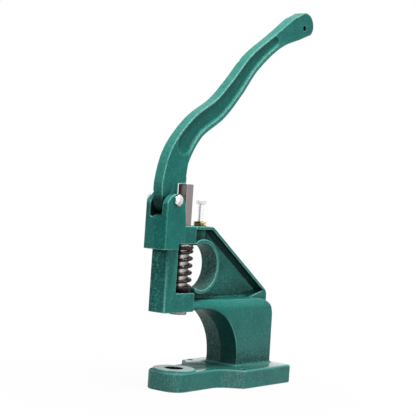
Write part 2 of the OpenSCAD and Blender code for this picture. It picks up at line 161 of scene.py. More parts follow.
# Skins a field: one vertex in each crossed cell, four-sided faces between.
def skinField(field, low, high, step, slab=4):
    lines = [np.arange(a - 1.5 * step, b + 2.5 * step, step, dtype=np.float32) for a, b in zip(low, high)]
    y, z = lines[1][None, :, None], lines[2][None, None, :]
    values = np.empty([len(line) for line in lines], np.float32)

    def fillSlab(i):
        values[i:i + slab] = field(lines[0][i:i + slab, None, None], y, z)
    with ThreadPoolExecutor(4) as pool:
        list(pool.map(fillSlab, range(0, len(lines[0]), slab)))
    inside = values < 0
    corners = [(i, j, k) for i in (0, 1) for j in (0, 1) for k in (0, 1)]
    shape = [n - 1 for n in values.shape]
    count = np.zeros(shape, np.int8)
    for corner in corners:
        count += inside[tuple(slice(o, o + n) for o, n in zip(corner, shape))]
    crossed = (count > 0) & (count < len(corners))
    cells = np.argwhere(crossed)
    index = np.full(crossed.shape, -1, np.int32)
    index[crossed] = np.arange(len(cells))
    at = {corner: values[tuple((cells + corner).T)] for corner in corners}
    total, hits = np.zeros((len(cells), 3)), np.zeros(len(cells))
    for a in corners:
        for axis in range(3):
            if a[axis]:
                continue
            b = tuple(1 if n == axis else a[n] for n in range(3))
            crosses = (at[a] < 0) != (at[b] < 0)
            share = np.where(crosses, at[a] / np.where(crosses, at[a] - at[b], 1), 0)
            total += np.array(a) * crosses[:, None]
            total[:, axis] += share * crosses
            hits += crosses
    points = np.array([line[0] for line in lines]) + (cells + total / hits[:, None]) * step
    quads = []
    for axis, u, v in ((0, 1, 2), (1, 2, 0), (2, 0, 1)):
        near = inside[tuple(slice(None, -1) if n == axis else slice(None) for n in range(3))]
        far = inside[tuple(slice(1, None) if n == axis else slice(None) for n in range(3))]
        spots = np.argwhere(near != far)
        spots = spots[(spots[:, u] > 0) & (spots[:, v] > 0)
                      & (spots[:, u] < shape[u]) & (spots[:, v] < shape[v])]
        outward = near[tuple(spots.T)]
        shiftU, shiftV = np.eye(3, dtype=int)[u], np.eye(3, dtype=int)[v]
        around = (spots - shiftU - shiftV, spots - shiftV, spots, spots - shiftU)
        ring = np.stack([index[tuple(spot.T)] for spot in around], 1)
        ring[~outward] = ring[~outward][:, ::-1]
        quads.append(ring)
    return points, np.concatenate(quads)


# Moves points on to the surface, then gives them with its outward directions.
def settled(field, points, reach):
    rounds, probe, wideProbe = 2, 0.08, 0.15
    flattest, shortest = 0.2, 0.01  # least slopes that the steps and directions divide by
    start = points
    for _ in range(rounds):
        value, slope = fieldSlope(field, points, probe)
        points = points - slope * (value / np.maximum((slope ** 2).sum(1), flattest))[:, None]
        points = start + np.clip(points - start, -reach, reach)
    _, slope = fieldSlope(field, points, wideProbe)
    return points, slope / np.maximum(np.linalg.norm(slope, axis=1), shortest)[:, None]


def fieldSlope(field, points, reach):
    total, slope = np.zeros(len(points)), np.zeros((len(points), 3))
    for way in ((1, -1, -1), (-1, -1, 1), (-1, 1, -1), (1, 1, 1)):
        value = field(*(points + np.array(way) * reach).T)
        total += value
        slope += np.outer(value, way)
    return total / 4, slope / (4 * reach)


def placed(name, data):
    thing = bpy.data.objects.new(name, data)
    bpy.context.collection.objects.link(thing)
    return thing


def meshPiece(name, points, faces, material, body, slot, nodes):
    mesh = bpy.data.meshes.new(name)
    mesh.vertices.add(len(points))
    mesh.vertices.foreach_set("co", (points * mm).astype(np.float32).ravel())
    mesh.loops.add(faces.size)
    mesh.loops.foreach_set("vertex_index", faces.astype(np.int32).ravel())
    mesh.polygons.add(len(faces))
    mesh.polygons.foreach_set("loop_start", np.arange(0, faces.size, faces.shape[1], dtype=np.int32))
    mesh.update(calc_edges=True)
    mesh.validate()
    piece = placed(name, mesh)
    mesh.materials.append(material)
    finishPiece(piece, body, slot, nodes)
    return piece


def finishPiece(piece, body, slot, nodes):
    piece.data.polygons.foreach_set("use_smooth", [True] * len(piece.data.polygons))
    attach(piece, body)
    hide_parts(*nodes)
    print("made", piece.name, len(piece.data.polygons), "faces")


# Thins a dense skin: flat places keep few faces, round edges keep theirs.
def thinned(points, faces, share):
    mesh = bpy.data.meshes.new("dense")
    mesh.from_pydata(points, [], faces)
    dense = placed("dense", mesh)
    thin = dense.modifiers.new("thin", "DECIMATE")
    thin.ratio = share
    reach = bpy.context.evaluated_depsgraph_get()
    result = bpy.data.meshes.new_from_object(dense.evaluated_get(reach))
    result.calc_loop_triangles()
    flat = np.empty(len(result.vertices) * 3, np.float32)
    result.vertices.foreach_get("co", flat)
    triangles = np.empty(len(result.loop_triangles) * 3, np.int32)
    result.loop_triangles.foreach_get("vertices", triangles)
    bpy.data.objects.remove(dense)
    bpy.data.meshes.remove(mesh)
    bpy.data.meshes.remove(result)
    return flat.reshape(-1, 3).astype(float), triangles.reshape(-1, 3)


# Skins a piece's field, thins the skin where a share is given, and settles it on the field.
def skinned(field, low, high, step, share=1):
    step = step * 1
    points, faces = skinField(field, low, high, step)
    if share < 1:
        points, faces = thinned(points, faces, share)
    points, normal = settled(field, points, step * 0.7)
    return points, faces, normal


# Marks for the paint: how proud (wear and painted highlight) and how shut in (painted shade) each point lies,
# and whatever else is given.
def markSkin(piece, field, points, normal, reach, shadeReach, **marks):
    proud = 1.5 * reach  # the six readings' sum on a fully worn edge
    feelers, shutIn, level = (0.15, 0.4, 1.0), (0.10, 0.65), (0.9, 0.99)
    around = np.zeros(len(points))
    for axis in np.eye(3):
        for way in (-1, 1):
            around += field(*(points + axis * way * reach).T)
    shut = np.zeros(len(points))
    for share in feelers:
        gap = shadeReach * share
        shut += np.clip(1 - field(*(points + normal * gap).T) / gap, 0, 1) / len(feelers)
    # proud edges get wear and painted highlight, shut-in places get painted shade
    marks["wearAndHighlight"] = np.clip(around / proud + marks.get("wearAndHighlight", 0), 0, 1)
    marks["shade"] = np.clip(smooth(shut, *shutIn) + marks.get("shade", 0), 0, 1)
    marks["top"] = smooth(normal[:, 2], *level) * marks.get("top", 1)
    for name, value in marks.items():
        attribute = piece.data.attributes.new(name, "FLOAT", "POINT")
        attribute.data.foreach_set("value", value.astype(np.float32))


def smooth(value, low, high):
    share = np.clip((value - low) / (high - low), 0, 1)
    return share * share * (3 - 2 * share)


# 1 below the edge, fading to 0 at it.
def below(value, edge, fade):
    return smooth(edge - value, 0, fade)


# Slow waves that make cast skin slightly uneven.
def castWaves(points, length, seed):
    spread = np.random.RandomState(seed)
    wave = np.zeros(len(points))
    for _ in range(12):
        way = spread.normal(size=3)
        way *= 2 * math.pi / (length * spread.uniform(0.6, 1.6) * np.linalg.norm(way))
        wave += np.sin(points @ way + spread.uniform(0, 2 * math.pi))
    return wave / 12


# The frame casting, one piece of iron. "radii" rounds its edges and joins.
casting = {
    "step": 0.72, "share": 0.36, "wave": 0.16, "seam": 0.32, "seamWidth": 0.55, "offset": 0.3,
    "longWaves": (14, 3), "shortWaves": (4, 4), "seamWander": (6, 5), "seamBreaks": (3, 6),  # length, seed
    "machined": 0.15, "sink": 0.05, "shift": (-0.3, 0.4), "proudReach": 1.5, "shadeReach": 9.0,
    "baseLen": 187.5, "baseFront": 24.5, "lobeW": 49, "baseW": 91.4, "baseT": 21, "lobeR": 17, "baseR": 5,
    "waistX": 53, "waistPinch": 1.4, "waistR": 22, "wideX": 71, "padR": 23, "padTop": 22.8,
    "dieR": 10, "screwR": 3.25, "screwX": 77.5, "screwY": 38.2, "overBase": 40,
    "throatR": 57.7, "throatX": 26.5, "throatZ": 29.5, "neckHalf": 22, "neckBack": 153, "neckLean": 1.4,
    "neckTaper": 0.9, "shoulderZ": 97.8, "shoulderRise": 3.6, "neckCornerR": 26,
    "blockZ": 84.4, "seatZ": 105.2, "half": 11.5, "columnFront": 38, "columnBack": 19.6, "blockBack": 13.2,
    "armZ": 158, "armTop": 177.5, "armBack": 9.8, "lap": 1.4,
    "forkFront": 48.6, "forkLen": 32, "forkHalf": 15.4, "skirtZ": 151.7, "skirtBack": 24, "earFlare": 2.4,
    "earZ": 195.4, "bulge": 1.3, "bulgePower": 1.4,
    "slotHalf": 8, "slotZ": 188.4, "slotLow": 1.1, "slotStep": 1.3,
    "webHalf": 4, "rimT": 3.6, "bendR": 7, "topX": 40.1, "endX": 151.5, "endZ": 104, "footR": 10,
    "ringX": 25, "ringZ": 133.6, "ringR": 29.9, "windowR": 25.6, "fillet": 4.5,
    "toeX": 124, "toeRise": 0.27, "toeUp": 2, "draft": 0.1, "draftFrom": 12,
    "pivotX": -32.6, "pivotZ": 204.5, "pinR": 4.05, "guide": 6.3, "guideFoot": 150,
    "holderR": 9.55, "holderZ": 95, "holderReach": 15,
    "stopX": 28.7, "stopR": 3.05, "stopFoot": 166, "bossR": 7, "bossDown": 9, "bossReach": 7.6,
    "radii": {
        "foot": 2.6, "under": 1.4, "land": 0.8, "landJoin": 0.9, "neck": 2.4, "neckJoin": 3.5, "crest": 12,
        "throat": 1.2, "web": 0.5, "webJoin": 3.0, "ringJoin": 1.0, "side": 1.0, "front": 3.0,
        "sideJoin": 1.0, "fork": 1.5, "forkFront": 2.2, "skirt": 0.8, "forkJoin": 0.7,
        "slot": 2.5, "slotRim": 0.9,
        "window": 1.1, "pin": 0.4, "guide": 0.4, "holder": 0.5, "die": 0.9, "screw": 0.8},
}


def rimSlope(s):
    return math.atan2(s["armTop"] - s["endZ"], s["endX"] - s["topX"])


# How far a point lies under the inner face of the sloped rim.
def underRim(s, x, z):
    slope = rimSlope(s)
    return -(x - s["topX"]) * math.sin(slope) - (z - s["armTop"]) * math.cos(slope) - s["rimT"]


def gussetOutline(s, inset, front):
    slope = rimSlope(s)
    bend = inset * math.tan(slope / 2)
    foot = inset * math.tan((math.pi / 2 - slope) / 2)
    return rounded([
        (front, s["shoulderZ"], 0), (front, s["armTop"] - inset, 0),
        (s["topX"] - bend, s["armTop"] - inset, s["bendR"] - inset),
        (s["endX"] - inset, s["endZ"] - foot, s["footR"] - inset),
        (s["endX"] - inset, s["shoulderZ"] - s["neckCornerR"], 0),
        (s["neckBack"] - s["neckCornerR"] * 2, s["shoulderZ"], 0)])


def castingOutlines(s):
    halfPlan = [(-s["baseFront"], s["lobeW"] / 2, s["lobeR"]),
                (s["waistX"], s["lobeW"] / 2 - s["waistPinch"], s["waistR"]),
                (s["wideX"], s["baseW"] / 2, s["baseR"]),
                (s["baseLen"] - s["baseFront"], s["baseW"] / 2, s["baseR"])]
    neckTop, neckFoot, neckFront = s["shoulderZ"] + s["shoulderRise"], 5, s["blockBack"] - 1.5
    earR = s["forkLen"] / 2
    earX = -s["forkFront"] + earR
    arcSteps = 24
    arc = [math.pi * i / arcSteps for i in range(arcSteps + 1)]
    backEar = -s["forkFront"] + s["forkLen"] + s["earFlare"]
    return {
        "plan": rounded(halfPlan + [(x, -y, r) for x, y, r in reversed(halfPlan)]),
        "neck": rounded([(neckFront, neckFoot, 0), (neckFront, neckTop, 0),
                         (s["neckBack"] - s["neckLean"], neckTop, s["neckCornerR"]),
                         (s["neckBack"], neckFoot, 0)]),
        "upright": rounded([
            (-s["columnFront"], s["blockZ"], 2.5), (s["blockBack"], s["blockZ"], 1),
            (s["blockBack"], s["seatZ"], 0.8), (-s["columnBack"], s["seatZ"], 1.2),
            (-s["columnBack"], s["armZ"], 1.2), (s["armBack"], s["armZ"], 0.8),
            (s["armBack"], s["armTop"], 0), (-s["columnFront"], s["armTop"], 0)], 4),
        "fork": [(-s["forkFront"], s["skirtZ"])]
                + [(earX - earR * math.cos(a), s["earZ"] + earR * math.sin(a)) for a in arc]
                + [(backEar, s["armTop"]), (backEar, s["armZ"]),
                   (-s["skirtBack"], s["armZ"]), (-s["skirtBack"], s["skirtZ"])],
        "gusset": gussetOutline(s, 0, s["armBack"] - s["lap"]),
        "hollow": gussetOutline(s, s["rimT"], s["armBack"] - s["lap"]),
        "web": gussetOutline(s, s["rimT"] / 2, s["armBack"] - 5),
    }


def castingField(s):
    lines, r = castingOutlines(s), s["radii"]
    backEar = -s["forkFront"] + s["forkLen"] + s["earFlare"]

    def field(x, y, z):
        side = np.abs(y)
        ringed = np.hypot(x - s["ringX"], z - s["ringZ"])
        aboutDie, aboutStop = np.hypot(x, y), np.hypot(x - s["stopX"], y)
        # foot plate with its raised land
        foot = trim(outlineField(x, y, lines["plan"]), z - s["baseT"], r["foot"])
        foot = trim(foot, -z, r["under"])
        land = trim(aboutDie - s["padR"], z - s["padTop"], r["land"])
        body = weld(foot, np.maximum(land, 2 - z), r["landJoin"])
        # neck: flared in plan, shoulder sloped to the web
        run = np.clip((x - s["blockBack"]) / (s["wideX"] - s["blockBack"]), 0, 1)
        flare = s["half"] - s["neckTaper"] * (1 - run)
        flare = flare + (s["neckHalf"] - s["half"]) * np.sin(run * math.pi / 2)
        neck = trim(outlineField(x, z, lines["neck"]), (side - flare) * 0.97, r["neck"])
        rise, reach = s["shoulderRise"], s["neckHalf"] - s["webHalf"]
        shoulder = ((side - s["neckHalf"]) * rise + (z - s["shoulderZ"]) * reach) / math.hypot(rise, reach)
        neck = trim(neck, shoulder, r["crest"])
        # the mould's halves taper for its draft and meet in the middle, slightly out of line
        slip = s["draft"] * (side - s["draftFrom"]) + s["offset"] * np.tanh((y - 0.5 * np.sin(z * 0.35)) * 2)
        throat = s["throatR"] + slip - np.hypot(x - s["throatX"], z - s["throatZ"])
        neck = trim(neck, throat, r["throat"])
        body = weld(body, neck, r["neckJoin"])
        middleWeb = outlineField(x, z, lines["web"])
        body = weld(body, trim(middleWeb, side - s["webHalf"], r["web"]), r["webJoin"])
        # block, column, arm, gusset rim and ring share one width
        ring = np.maximum(ringed - s["ringR"], s["armBack"] - s["lap"] - x)
        gusset = outlineField(x, z, lines["gusset"])
        rim = np.maximum(gusset, -outlineField(x, z, lines["hollow"]))
        fillet = (underRim(s, x, z) + side - s["webHalf"] - s["fillet"]) * 0.7
        fillet = np.maximum(fillet, side - s["half"] + 1)
        body = np.minimum(body, np.maximum(np.maximum(fillet, middleWeb), s["topX"] - x))
        toe = (z - s["shoulderZ"] - s["toeUp"] - (x - s["toeX"]) * s["toeRise"]) * 0.94
        toe = np.maximum(gusset, toe)
        upright = weld(outlineField(x, z, lines["upright"]), ring, r["ringJoin"])
        profile = np.minimum(np.minimum(upright, rim), toe)
        front = -s["columnFront"] - x
        wide = trim(profile, side - s["half"], r["side"])
        wide = np.maximum(wide, trim(front, side - s["half"], r["front"]))
        body = weld(body, wide, r["sideJoin"])
        boss = np.maximum(aboutStop - s["bossR"], np.abs(z - s["armTop"] + s["bossDown"]) - s["bossReach"])
        body = weld(body, boss, r["sideJoin"])
        # fork head: bulged front, round ears, skirt over the column
        bulge = -s["forkFront"] + s["bulge"] * (side / s["forkHalf"]) ** s["bulgePower"] - x
        fork = trim(outlineField(x, z, lines["fork"]), side - s["forkHalf"], r["fork"])
        fork = np.maximum(fork, trim(bulge, side - s["forkHalf"], r["forkFront"]))
        fork = np.maximum(fork, trim(bulge, s["skirtZ"] - z, r["skirt"]))
        body = weld(body, fork, r["forkJoin"])
        # the slot's rough floor steps down towards the far side
        floor = s["slotZ"] - s["slotLow"] - s["slotStep"] * np.tanh((y - 2) / 1.2)
        floor = floor + 0.25 * np.sin(x * 0.8 + y * 1.3)
        slot = trim(side - s["slotHalf"], floor - z, r["slot"])
        slot = np.maximum(slot, x - (backEar + 3))
        body = carve(body, slot, r["slotRim"])
        # spring bay, window and bores
        bay = np.maximum(np.maximum(x - s["blockBack"], -s["columnBack"] - x),
                         np.maximum(s["seatZ"] - z, z - s["armZ"]))
        body = np.maximum(body, -bay)
        pin = np.hypot(x - s["pivotX"], z - s["pivotZ"]) - s["pinR"]
        screw = np.hypot(x - s["screwX"], side - s["screwY"]) - s["screwR"]
        holes = {
            "window": ringed - s["windowR"] - slip * 0.8 - 0.4,
            "pin": pin,
            "guide": np.maximum(np.maximum(np.abs(x), side) - s["guide"], s["guideFoot"] - z),
            "holder": np.maximum(aboutDie - s["holderR"], np.abs(z - s["holderZ"]) - s["holderReach"]),
            "die": np.maximum(aboutDie - s["dieR"], z - s["overBase"]),
            "screw": np.maximum(screw, z - s["overBase"]),
        }
        for name, hole in holes.items():
            body = carve(body, hole, r[name])
        return np.maximum(body, -np.maximum(aboutStop - s["stopR"], s["stopFoot"] - z))
    return field


def castFrame(material):
    s = casting
    field = castingField(s)
    low = (-s["forkFront"], -s["baseW"] / 2, 0)
    high = (s["baseLen"] - s["baseFront"], s["baseW"] / 2, s["earZ"] + s["forkLen"] / 2)
    points, faces, normal = skinned(field, low, high, s["step"], s["share"])
    x, y, z = points.T
    bore = np.hypot(x, y) < s["padR"] - 0.8
    machined = (bore & (z > s["baseT"] + 1)) | (z < 0.5)
    lift = castWaves(points, *s["longWaves"]) * 0.6 + castWaves(points, *s["shortWaves"]) * 0.4
    lift = lift * s["wave"] * np.where(machined, s["machined"], 1)
    wander = 0.5 * np.sin(z * 0.35) + castWaves(points, *s["seamWander"])
    middle = np.exp(-((y - wander) / s["seamWidth"]) ** 2) * (1 - np.abs(normal[:, 1])) * ~machined
    middle *= 0.6 + castWaves(points, *s["seamBreaks"]) * 1.2
    shift = np.clip(lift + s["seam"] * middle - s["sink"], *s["shift"])
    skin = boxed("frame_casting", points + normal * shift[:, None])
    piece = meshPiece("castFrame", skin, faces, material, "frame", "green_enamel", ["frame_casting"])
    markSkin(piece, field, points, normal, s["proudReach"], s["shadeReach"], **castMarks(s, points, normal))


# What each area of the casting adds to the paint's marks: painted shade, coarse skin with painted glints,
# painted light, painted sheen, and wear with painted highlights.
castPaint = {
    # painted shade under the rim, in the throat, ring, slot and web, on the ledge, low on the neck and on the
    # foot beside the neck
    "shade": {"rim": 0.66, "fillet": 0.38, "throat": 0.76, "throatFar": -0.24, "ring": 0.44, "ringFar": -0.1,
              "ringSeam": 0.55, "slot": 1, "web": 0.36, "webMiddle": -0.16, "webTop": 0.35, "arm": 0.05,
              "low": 0.45, "ledge": 0.35, "dullAndShaded": 0.5},
    # coarse skin, which also carries painted glints
    "grit": {"all": 0.16, "flank": 0.08, "column": 0.425, "columnFar": 0.425, "waist": 0.45, "throatFar": 0.6,
             "ring": 0.3, "lobe": 0.35, "head": 0.2, "seam": 0.5, "low": 0.4, "web": 0.08, "webFoot": 0.3,
             "corner": 0.6},
    # painted light on sloped faces, corners, back edges, the lobe, the seam and the column's side
    "lit": {"edge": 0.6, "waist": 0.2, "corner": 0.6, "back": 0.9, "lobe": 0.28, "seam": 0.5, "headFar": 0.16,
            "flankHigh": 0.35},
    # painted sheen: grey reflection on the waist, lobe, throat, ring and the base's rear top
    "paintedSheen": {"waist": 0.11, "lobe": 0.05, "throatFar": 0.2, "ring": 0.2, "rearTop": 0.3},
    # wear and painted highlights on the back edges, the column's corner and the throat's seam
    "wearAndHighlight": {"back": 0.7, "cornerLow": 0.3, "throatSeam": 0.55},
}

# Where those areas lie: from and to, or with "End" the end and the fade before it.
castPlaces = {
    "webFootEnd": (128, 20), "webMiddle": (112, 135), "webTop": (150, 172), "waist": (46, 62),
    "waistEnd": (75, 2.5), "lowEnd": (44, 18), "armFrom": -15, "cornerTo": -30, "back": (8, 15), "lobeTo": 10,
    "noEdge": (85, 105), "rearFrom": 105, "ledgeHalf": 15, "ledgeHigh": 8, "glossyFrom": 15,
    "farSide": (-19, -15), "behind": (56, 68), "nearSide": (-43.5, -41),
    "dullAndShadedEnd": (112, 26), "dullAndShadedFarEnd": (30, 6),
}


# Where the casting gets painted shade, where its skin is coarse and carries painted glints, and where it gets
# painted light and painted sheen.
def castMarks(s, points, normal):
    at = castPlaces
    x, y, z = points.T
    nx, ny, nz = normal.T
    side, far = np.abs(y), smooth(y, -1, 1)
    flat, front = np.abs(ny), smooth(-nx, 0.7, 0.95)
    aboutDie = np.hypot(x, y)
    ringed = np.hypot(x - s["ringX"], z - s["ringZ"])
    throated = np.hypot(x - s["throatX"], z - s["throatZ"])
    onFoot, overShoulder = z < s["padTop"] + 1, z > s["shoulderZ"] + 3
    inner = (side < s["half"] - 1) * (side > s["webHalf"] - 1) * (x > s["topX"]) * overShoulder
    band = underRim(s, x, z)
    a = {"all": 1}
    a["throat"] = below(np.abs(throated - s["throatR"]), 2.5, 0.8) * (side < s["neckHalf"] - 0.5)
    a["throat"] *= (z > s["baseT"] + 1) * smooth(-nx - nz, 0.1, 0.5)
    a["throatFar"] = a["throat"] * far
    a["throatSeam"] = a["throat"] * np.exp(-((y + 0.3 + castWaves(points, 5, 8)) / 0.5) ** 2)
    a["ring"] = below(np.abs(ringed - s["windowR"]), 2.2, 0.8) * (side < s["half"] - 0.6) * (x > 5)
    a["ringFar"] = a["ring"] * far
    a["ringSeam"] = a["ring"] * below(np.abs(y - 0.8 - 1.2 * castWaves(points, 16, 10)), 0.9, 0.6)
    a["slot"] = below(side, s["slotHalf"] + 0.6, 0.6) * (z > s["slotZ"] - 1.2)
    a["slot"] = a["slot"] * (x < -s["forkFront"] + s["forkLen"] + 4)
    a["web"] = (side < s["webHalf"] + 0.5) * (z > s["shoulderZ"]) * (flat > 0.7)
    a["webFoot"], a["webMiddle"], a["webTop"] = (
        a["web"] * share for share in (
            below(z, *at["webFootEnd"]), smooth(z, *at["webMiddle"]), smooth(z, *at["webTop"])))
    a["rim"] = (side < s["half"] - 0.8) * (side > s["webHalf"]) * (x > s["armBack"]) * overShoulder
    a["rim"] = a["rim"] * smooth(-nz, 0.2, 0.6) * (ringed > s["ringR"] + 1)
    a["fillet"] = inner * (band > 0) * below(band, s["fillet"] + 0.4, 0.5)
    a["arm"] = (ny < -0.8) * (z > s["armZ"]) * (z < s["armTop"]) * (x > at["armFrom"]) * (x < s["armBack"])
    a["column"] = front * (z > s["blockZ"]) * (z < s["skirtZ"])
    a["columnFar"] = a["column"] * far
    a["waist"] = smooth(x, *at["waist"]) * below(x, *at["waistEnd"]) * smooth(-nx, 0.3, 0.6)
    a["waist"] *= z < s["baseT"] - 1.5
    a["low"] = (x > s["blockBack"]) * below(z, *at["lowEnd"]) * (z > s["baseT"] + 1) * (flat > 0.7)
    a["flank"] = (flat > 0.8) * below(z, s["skirtZ"], 2)
    a["flankHigh"] = a["flank"] * (z > s["seatZ"])
    a["corner"] = smooth(np.minimum(-nx, flat), 0.35, 0.6) * (z > s["blockZ"]) * (x < at["cornerTo"])
    a["cornerLow"] = a["corner"] * (z < s["skirtZ"])
    a["back"] = smooth(np.minimum(nx, flat), 0.3, 0.55) * (z > s["blockZ"])
    a["back"] *= (x > at["back"][0]) * (x < at["back"][1])
    a["lobe"] = smooth(-nx, 0.2, 0.7) * (x < at["lobeTo"]) * (z < s["baseT"] - 1.5)
    a["seam"] = np.exp(-((y - 0.3) / 0.5) ** 2) * front * (z > s["skirtZ"]) * (z < s["slotZ"])
    a["head"] = front * (z > s["skirtZ"]) * (x < -s["columnFront"] - 3)
    a["headFar"] = a["head"] * far
    a["edge"] = smooth(nz, 0.15, 0.4) * below(nz, 0.92, 0.1)
    a["edge"] *= 1 - 0.6 * (z > at["noEdge"][0]) * (z < at["noEdge"][1])
    a["rearTop"] = smooth(nz, 0.95, 0.99) * (x > at["rearFrom"]) * (y < 0) * (z < s["baseT"] + 1)
    a["ledge"] = (nz > 0.9) * (side < at["ledgeHalf"]) * (x > s["blockBack"])
    a["ledge"] = a["ledge"] * (z > s["shoulderZ"]) * (z < s["shoulderZ"] + at["ledgeHigh"])
    # beside the neck the foot's top gets painted shade and a matt skin
    beside = np.maximum(smooth(y, *at["farSide"]), smooth(x, *at["behind"]) * smooth(y, *at["nearSide"]))
    a["dullAndShaded"] = smooth(aboutDie, s["padR"] - 0.5, s["padR"] + 1) * below(x, *at["dullAndShadedEnd"]) * beside
    a["dullAndShaded"] *= below(y, *at["dullAndShadedFarEnd"]) * onFoot * smooth(nz, 0.8, 0.95)
    a["dullAndShaded"] *= 0.75 + 0.25 * smooth(castWaves(points, 9, 9), -0.2, 0.2)
    marks = {mark: sum(a[area] * amount for area, amount in areas.items())
             for mark, areas in castPaint.items()}
    for mark in ("grit", "lit"):
        marks[mark] = np.clip(marks[mark], 0, 1)
    # bare iron in the die bore and screw holes, which the paint makes near-black as painted shade
    aboutScrew = np.hypot(x - s["screwX"], side - s["screwY"])
    marks["bare"] = np.maximum(below(aboutDie, s["dieR"] + 0.45, 0.3) * (z < s["padTop"] - 0.2),
                               below(aboutScrew, s["screwR"] + 0.4, 0.3))
    marks["matt"] = np.maximum(a["dullAndShaded"], a["ledge"]) + 0.6 * (aboutDie < s["padR"]) * onFoot
    glossy = np.where(aboutDie < s["padR"], 0.72, np.where(y > at["glossyFrom"], 0.82, 1))
    marks["top"] = onFoot * glossy * (1 - 0.9 * a["dullAndShaded"])
    return marks


def boxOf(node):
    return np.array(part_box(node)) / mm


# Keeps the skin's small waves inside the space of the solid that it stands for.
def boxed(node, points, margin=0.02):
    low, high = boxOf(node)
    return np.clip(points, low + margin, high - margin)


# The hand lever: stations along the line from pivot to grip, as shares of its reach.
lever = {
    "step": 0.6, "share": 0.8, "wave": 0.14, "waves": (12, 7), "seam": 0.18, "seamWidth": 0.6,
    "liftMost": 0.1, "sink": 0.05, "plainR": 40, "proudReach": 1.5, "shadeReach": 7.0,
    "pivotX": -32.6, "pivotZ": 204.5, "reach": 321, "lean": 42.8, "half": 6.4, "gripHalf": 8,
    "heelR": 14.8, "stepBack": 11.4, "stepUp": 18.3, "noseBack": 24.5,
    "tongueReach": 3.1, "tongueHalf": 4, "tongueT": 7, "notch": (5.75, 1.9),
    "frontFlange": 2.8, "underFlange": 6.2, "webHalf": 3.4,
    "gripR": 16, "holeR": 3, "holeBack": 4.5, "pinR": 4.05,
    "hollowFrom": 2.35, "hollowTo": 6.9, "fadeLow": (232, 262), "fadeHigh": (146, 172), "perStation": 8,
    "wallLean": 0.5, "wallIn": 0.6, "rims": (0.8, 2.4), "lift": 1.06, "lessBelow": (0.2, 300),
    "radii": {"edge": 1.3, "pocket": 1.8, "notch": 0.5, "tongue": 0.6, "hole": 0.5, "pin": 0.3},
    "along": [0.0, 0.045, 0.128, 0.256, 0.396, 0.520, 0.658, 0.822, 0.944, 1.0],
    "rise": [0.0, 0.033, 0.084, 0.1005, 0.0735, 0.073, 0.081, 0.058, 0.0255, 0.0],
    "depth": [0.0465, 0.058, 0.0517, 0.042, 0.0405, 0.0386, 0.0343, 0.0296, 0.043, 0.0485],
}


def smoothShare(shares, s):
    last = len(shares) - 1
    i = min(last - 1, int(s))
    a, b, c, d = (shares[min(last, max(0, i + k))] for k in (-1, 0, 1, 2))
    t = s - i
    return (2 * b + (c - a) * t + (2 * a - 5 * b + 4 * c - d) * t * t + (3 * b - a - 3 * c + d) * t ** 3) / 2


def leverPoint(s, station, side, inset):
    at = lambda q: Vector((smoothShare(s["along"], q), smoothShare(s["rise"], q)))
    last = len(s["along"]) - 1
    way = (at(min(last, station + 0.01)) - at(max(0, station - 0.01))).normalized()
    spot = at(station) * s["reach"]
    spot += Vector((-way.y, way.x)) * side * (smoothShare(s["depth"], station) * s["reach"] - inset)
    return leverPlaced(s, spot)


def leverPlaced(s, spot):
    turn = Matrix.Rotation(math.radians(s["lean"]), 2)
    return Vector((s["pivotX"], s["pivotZ"])) + turn @ Vector(spot)


def leverOutlines(s):
    last, per = len(s["along"]) - 2, s["perStation"]
    blade = [leverPoint(s, i / per, 1, 0) for i in range(last * per + 1)]
    # the grip's end is a half round that flattens towards its underside
    arcSteps, first, sweep, flatFrom, flatSweep = 30, 80, 180, 30, 70
    for i in range(arcSteps + 1):
        turn = first - sweep * i / arcSteps
        a, r = math.radians(turn), s["gripR"] * (1 - (max(0, -turn - flatFrom) / flatSweep) ** 2 / 5)
        blade.append(leverPlaced(s, (s["reach"] + r * math.cos(a), r * math.sin(a))))
    blade += [leverPoint(s, i / per, -1, 0) for i in range(last * per, 2 * per - 1, -1)]
    stepZ, tip, wall = s["pivotZ"] + s["stepUp"], s["pivotX"] + s["noseBack"], s["pivotX"] + s["stepBack"]
    blade += [Vector((tip, stepZ + s["stepUp"] / 2)), Vector((tip, stepZ)), Vector((wall, stepZ))]
    pivot = Vector((s["pivotX"], s["pivotZ"]))
    front = leverPoint(s, 0, 1, 0) - pivot
    start, end = -math.acos(s["stepBack"] / s["heelR"]), math.atan2(front.y, front.x) - 2 * math.pi
    heelSteps, hollowSteps = 24, 48
    for i in range(heelSteps):
        a = start + (end - start) * i / heelSteps
        r = s["heelR"] + (front.length - s["heelR"]) * i / heelSteps
        blade.append(pivot + Vector((math.cos(a), math.sin(a))) * r)
    hollowLen = s["hollowTo"] - s["hollowFrom"]
    span = [s["hollowFrom"] + hollowLen * i / hollowSteps for i in range(hollowSteps + 1)]
    hollow = [leverPoint(s, q, 1, s["frontFlange"]) for q in span]
    hollow += [leverPoint(s, q, -1, s["underFlange"]) for q in reversed(span)]
    ends, flanges = [], s["frontFlange"] + s["underFlange"]
    for q in (s["hollowFrom"], s["hollowTo"]):
        middle = (leverPoint(s, q, 1, s["frontFlange"]) + leverPoint(s, q, -1, s["underFlange"])) / 2
        ends.append((middle, smoothShare(s["depth"], q) * s["reach"] - flanges / 2))
    return [tuple(p) for p in blade], [tuple(p) for p in hollow], ends


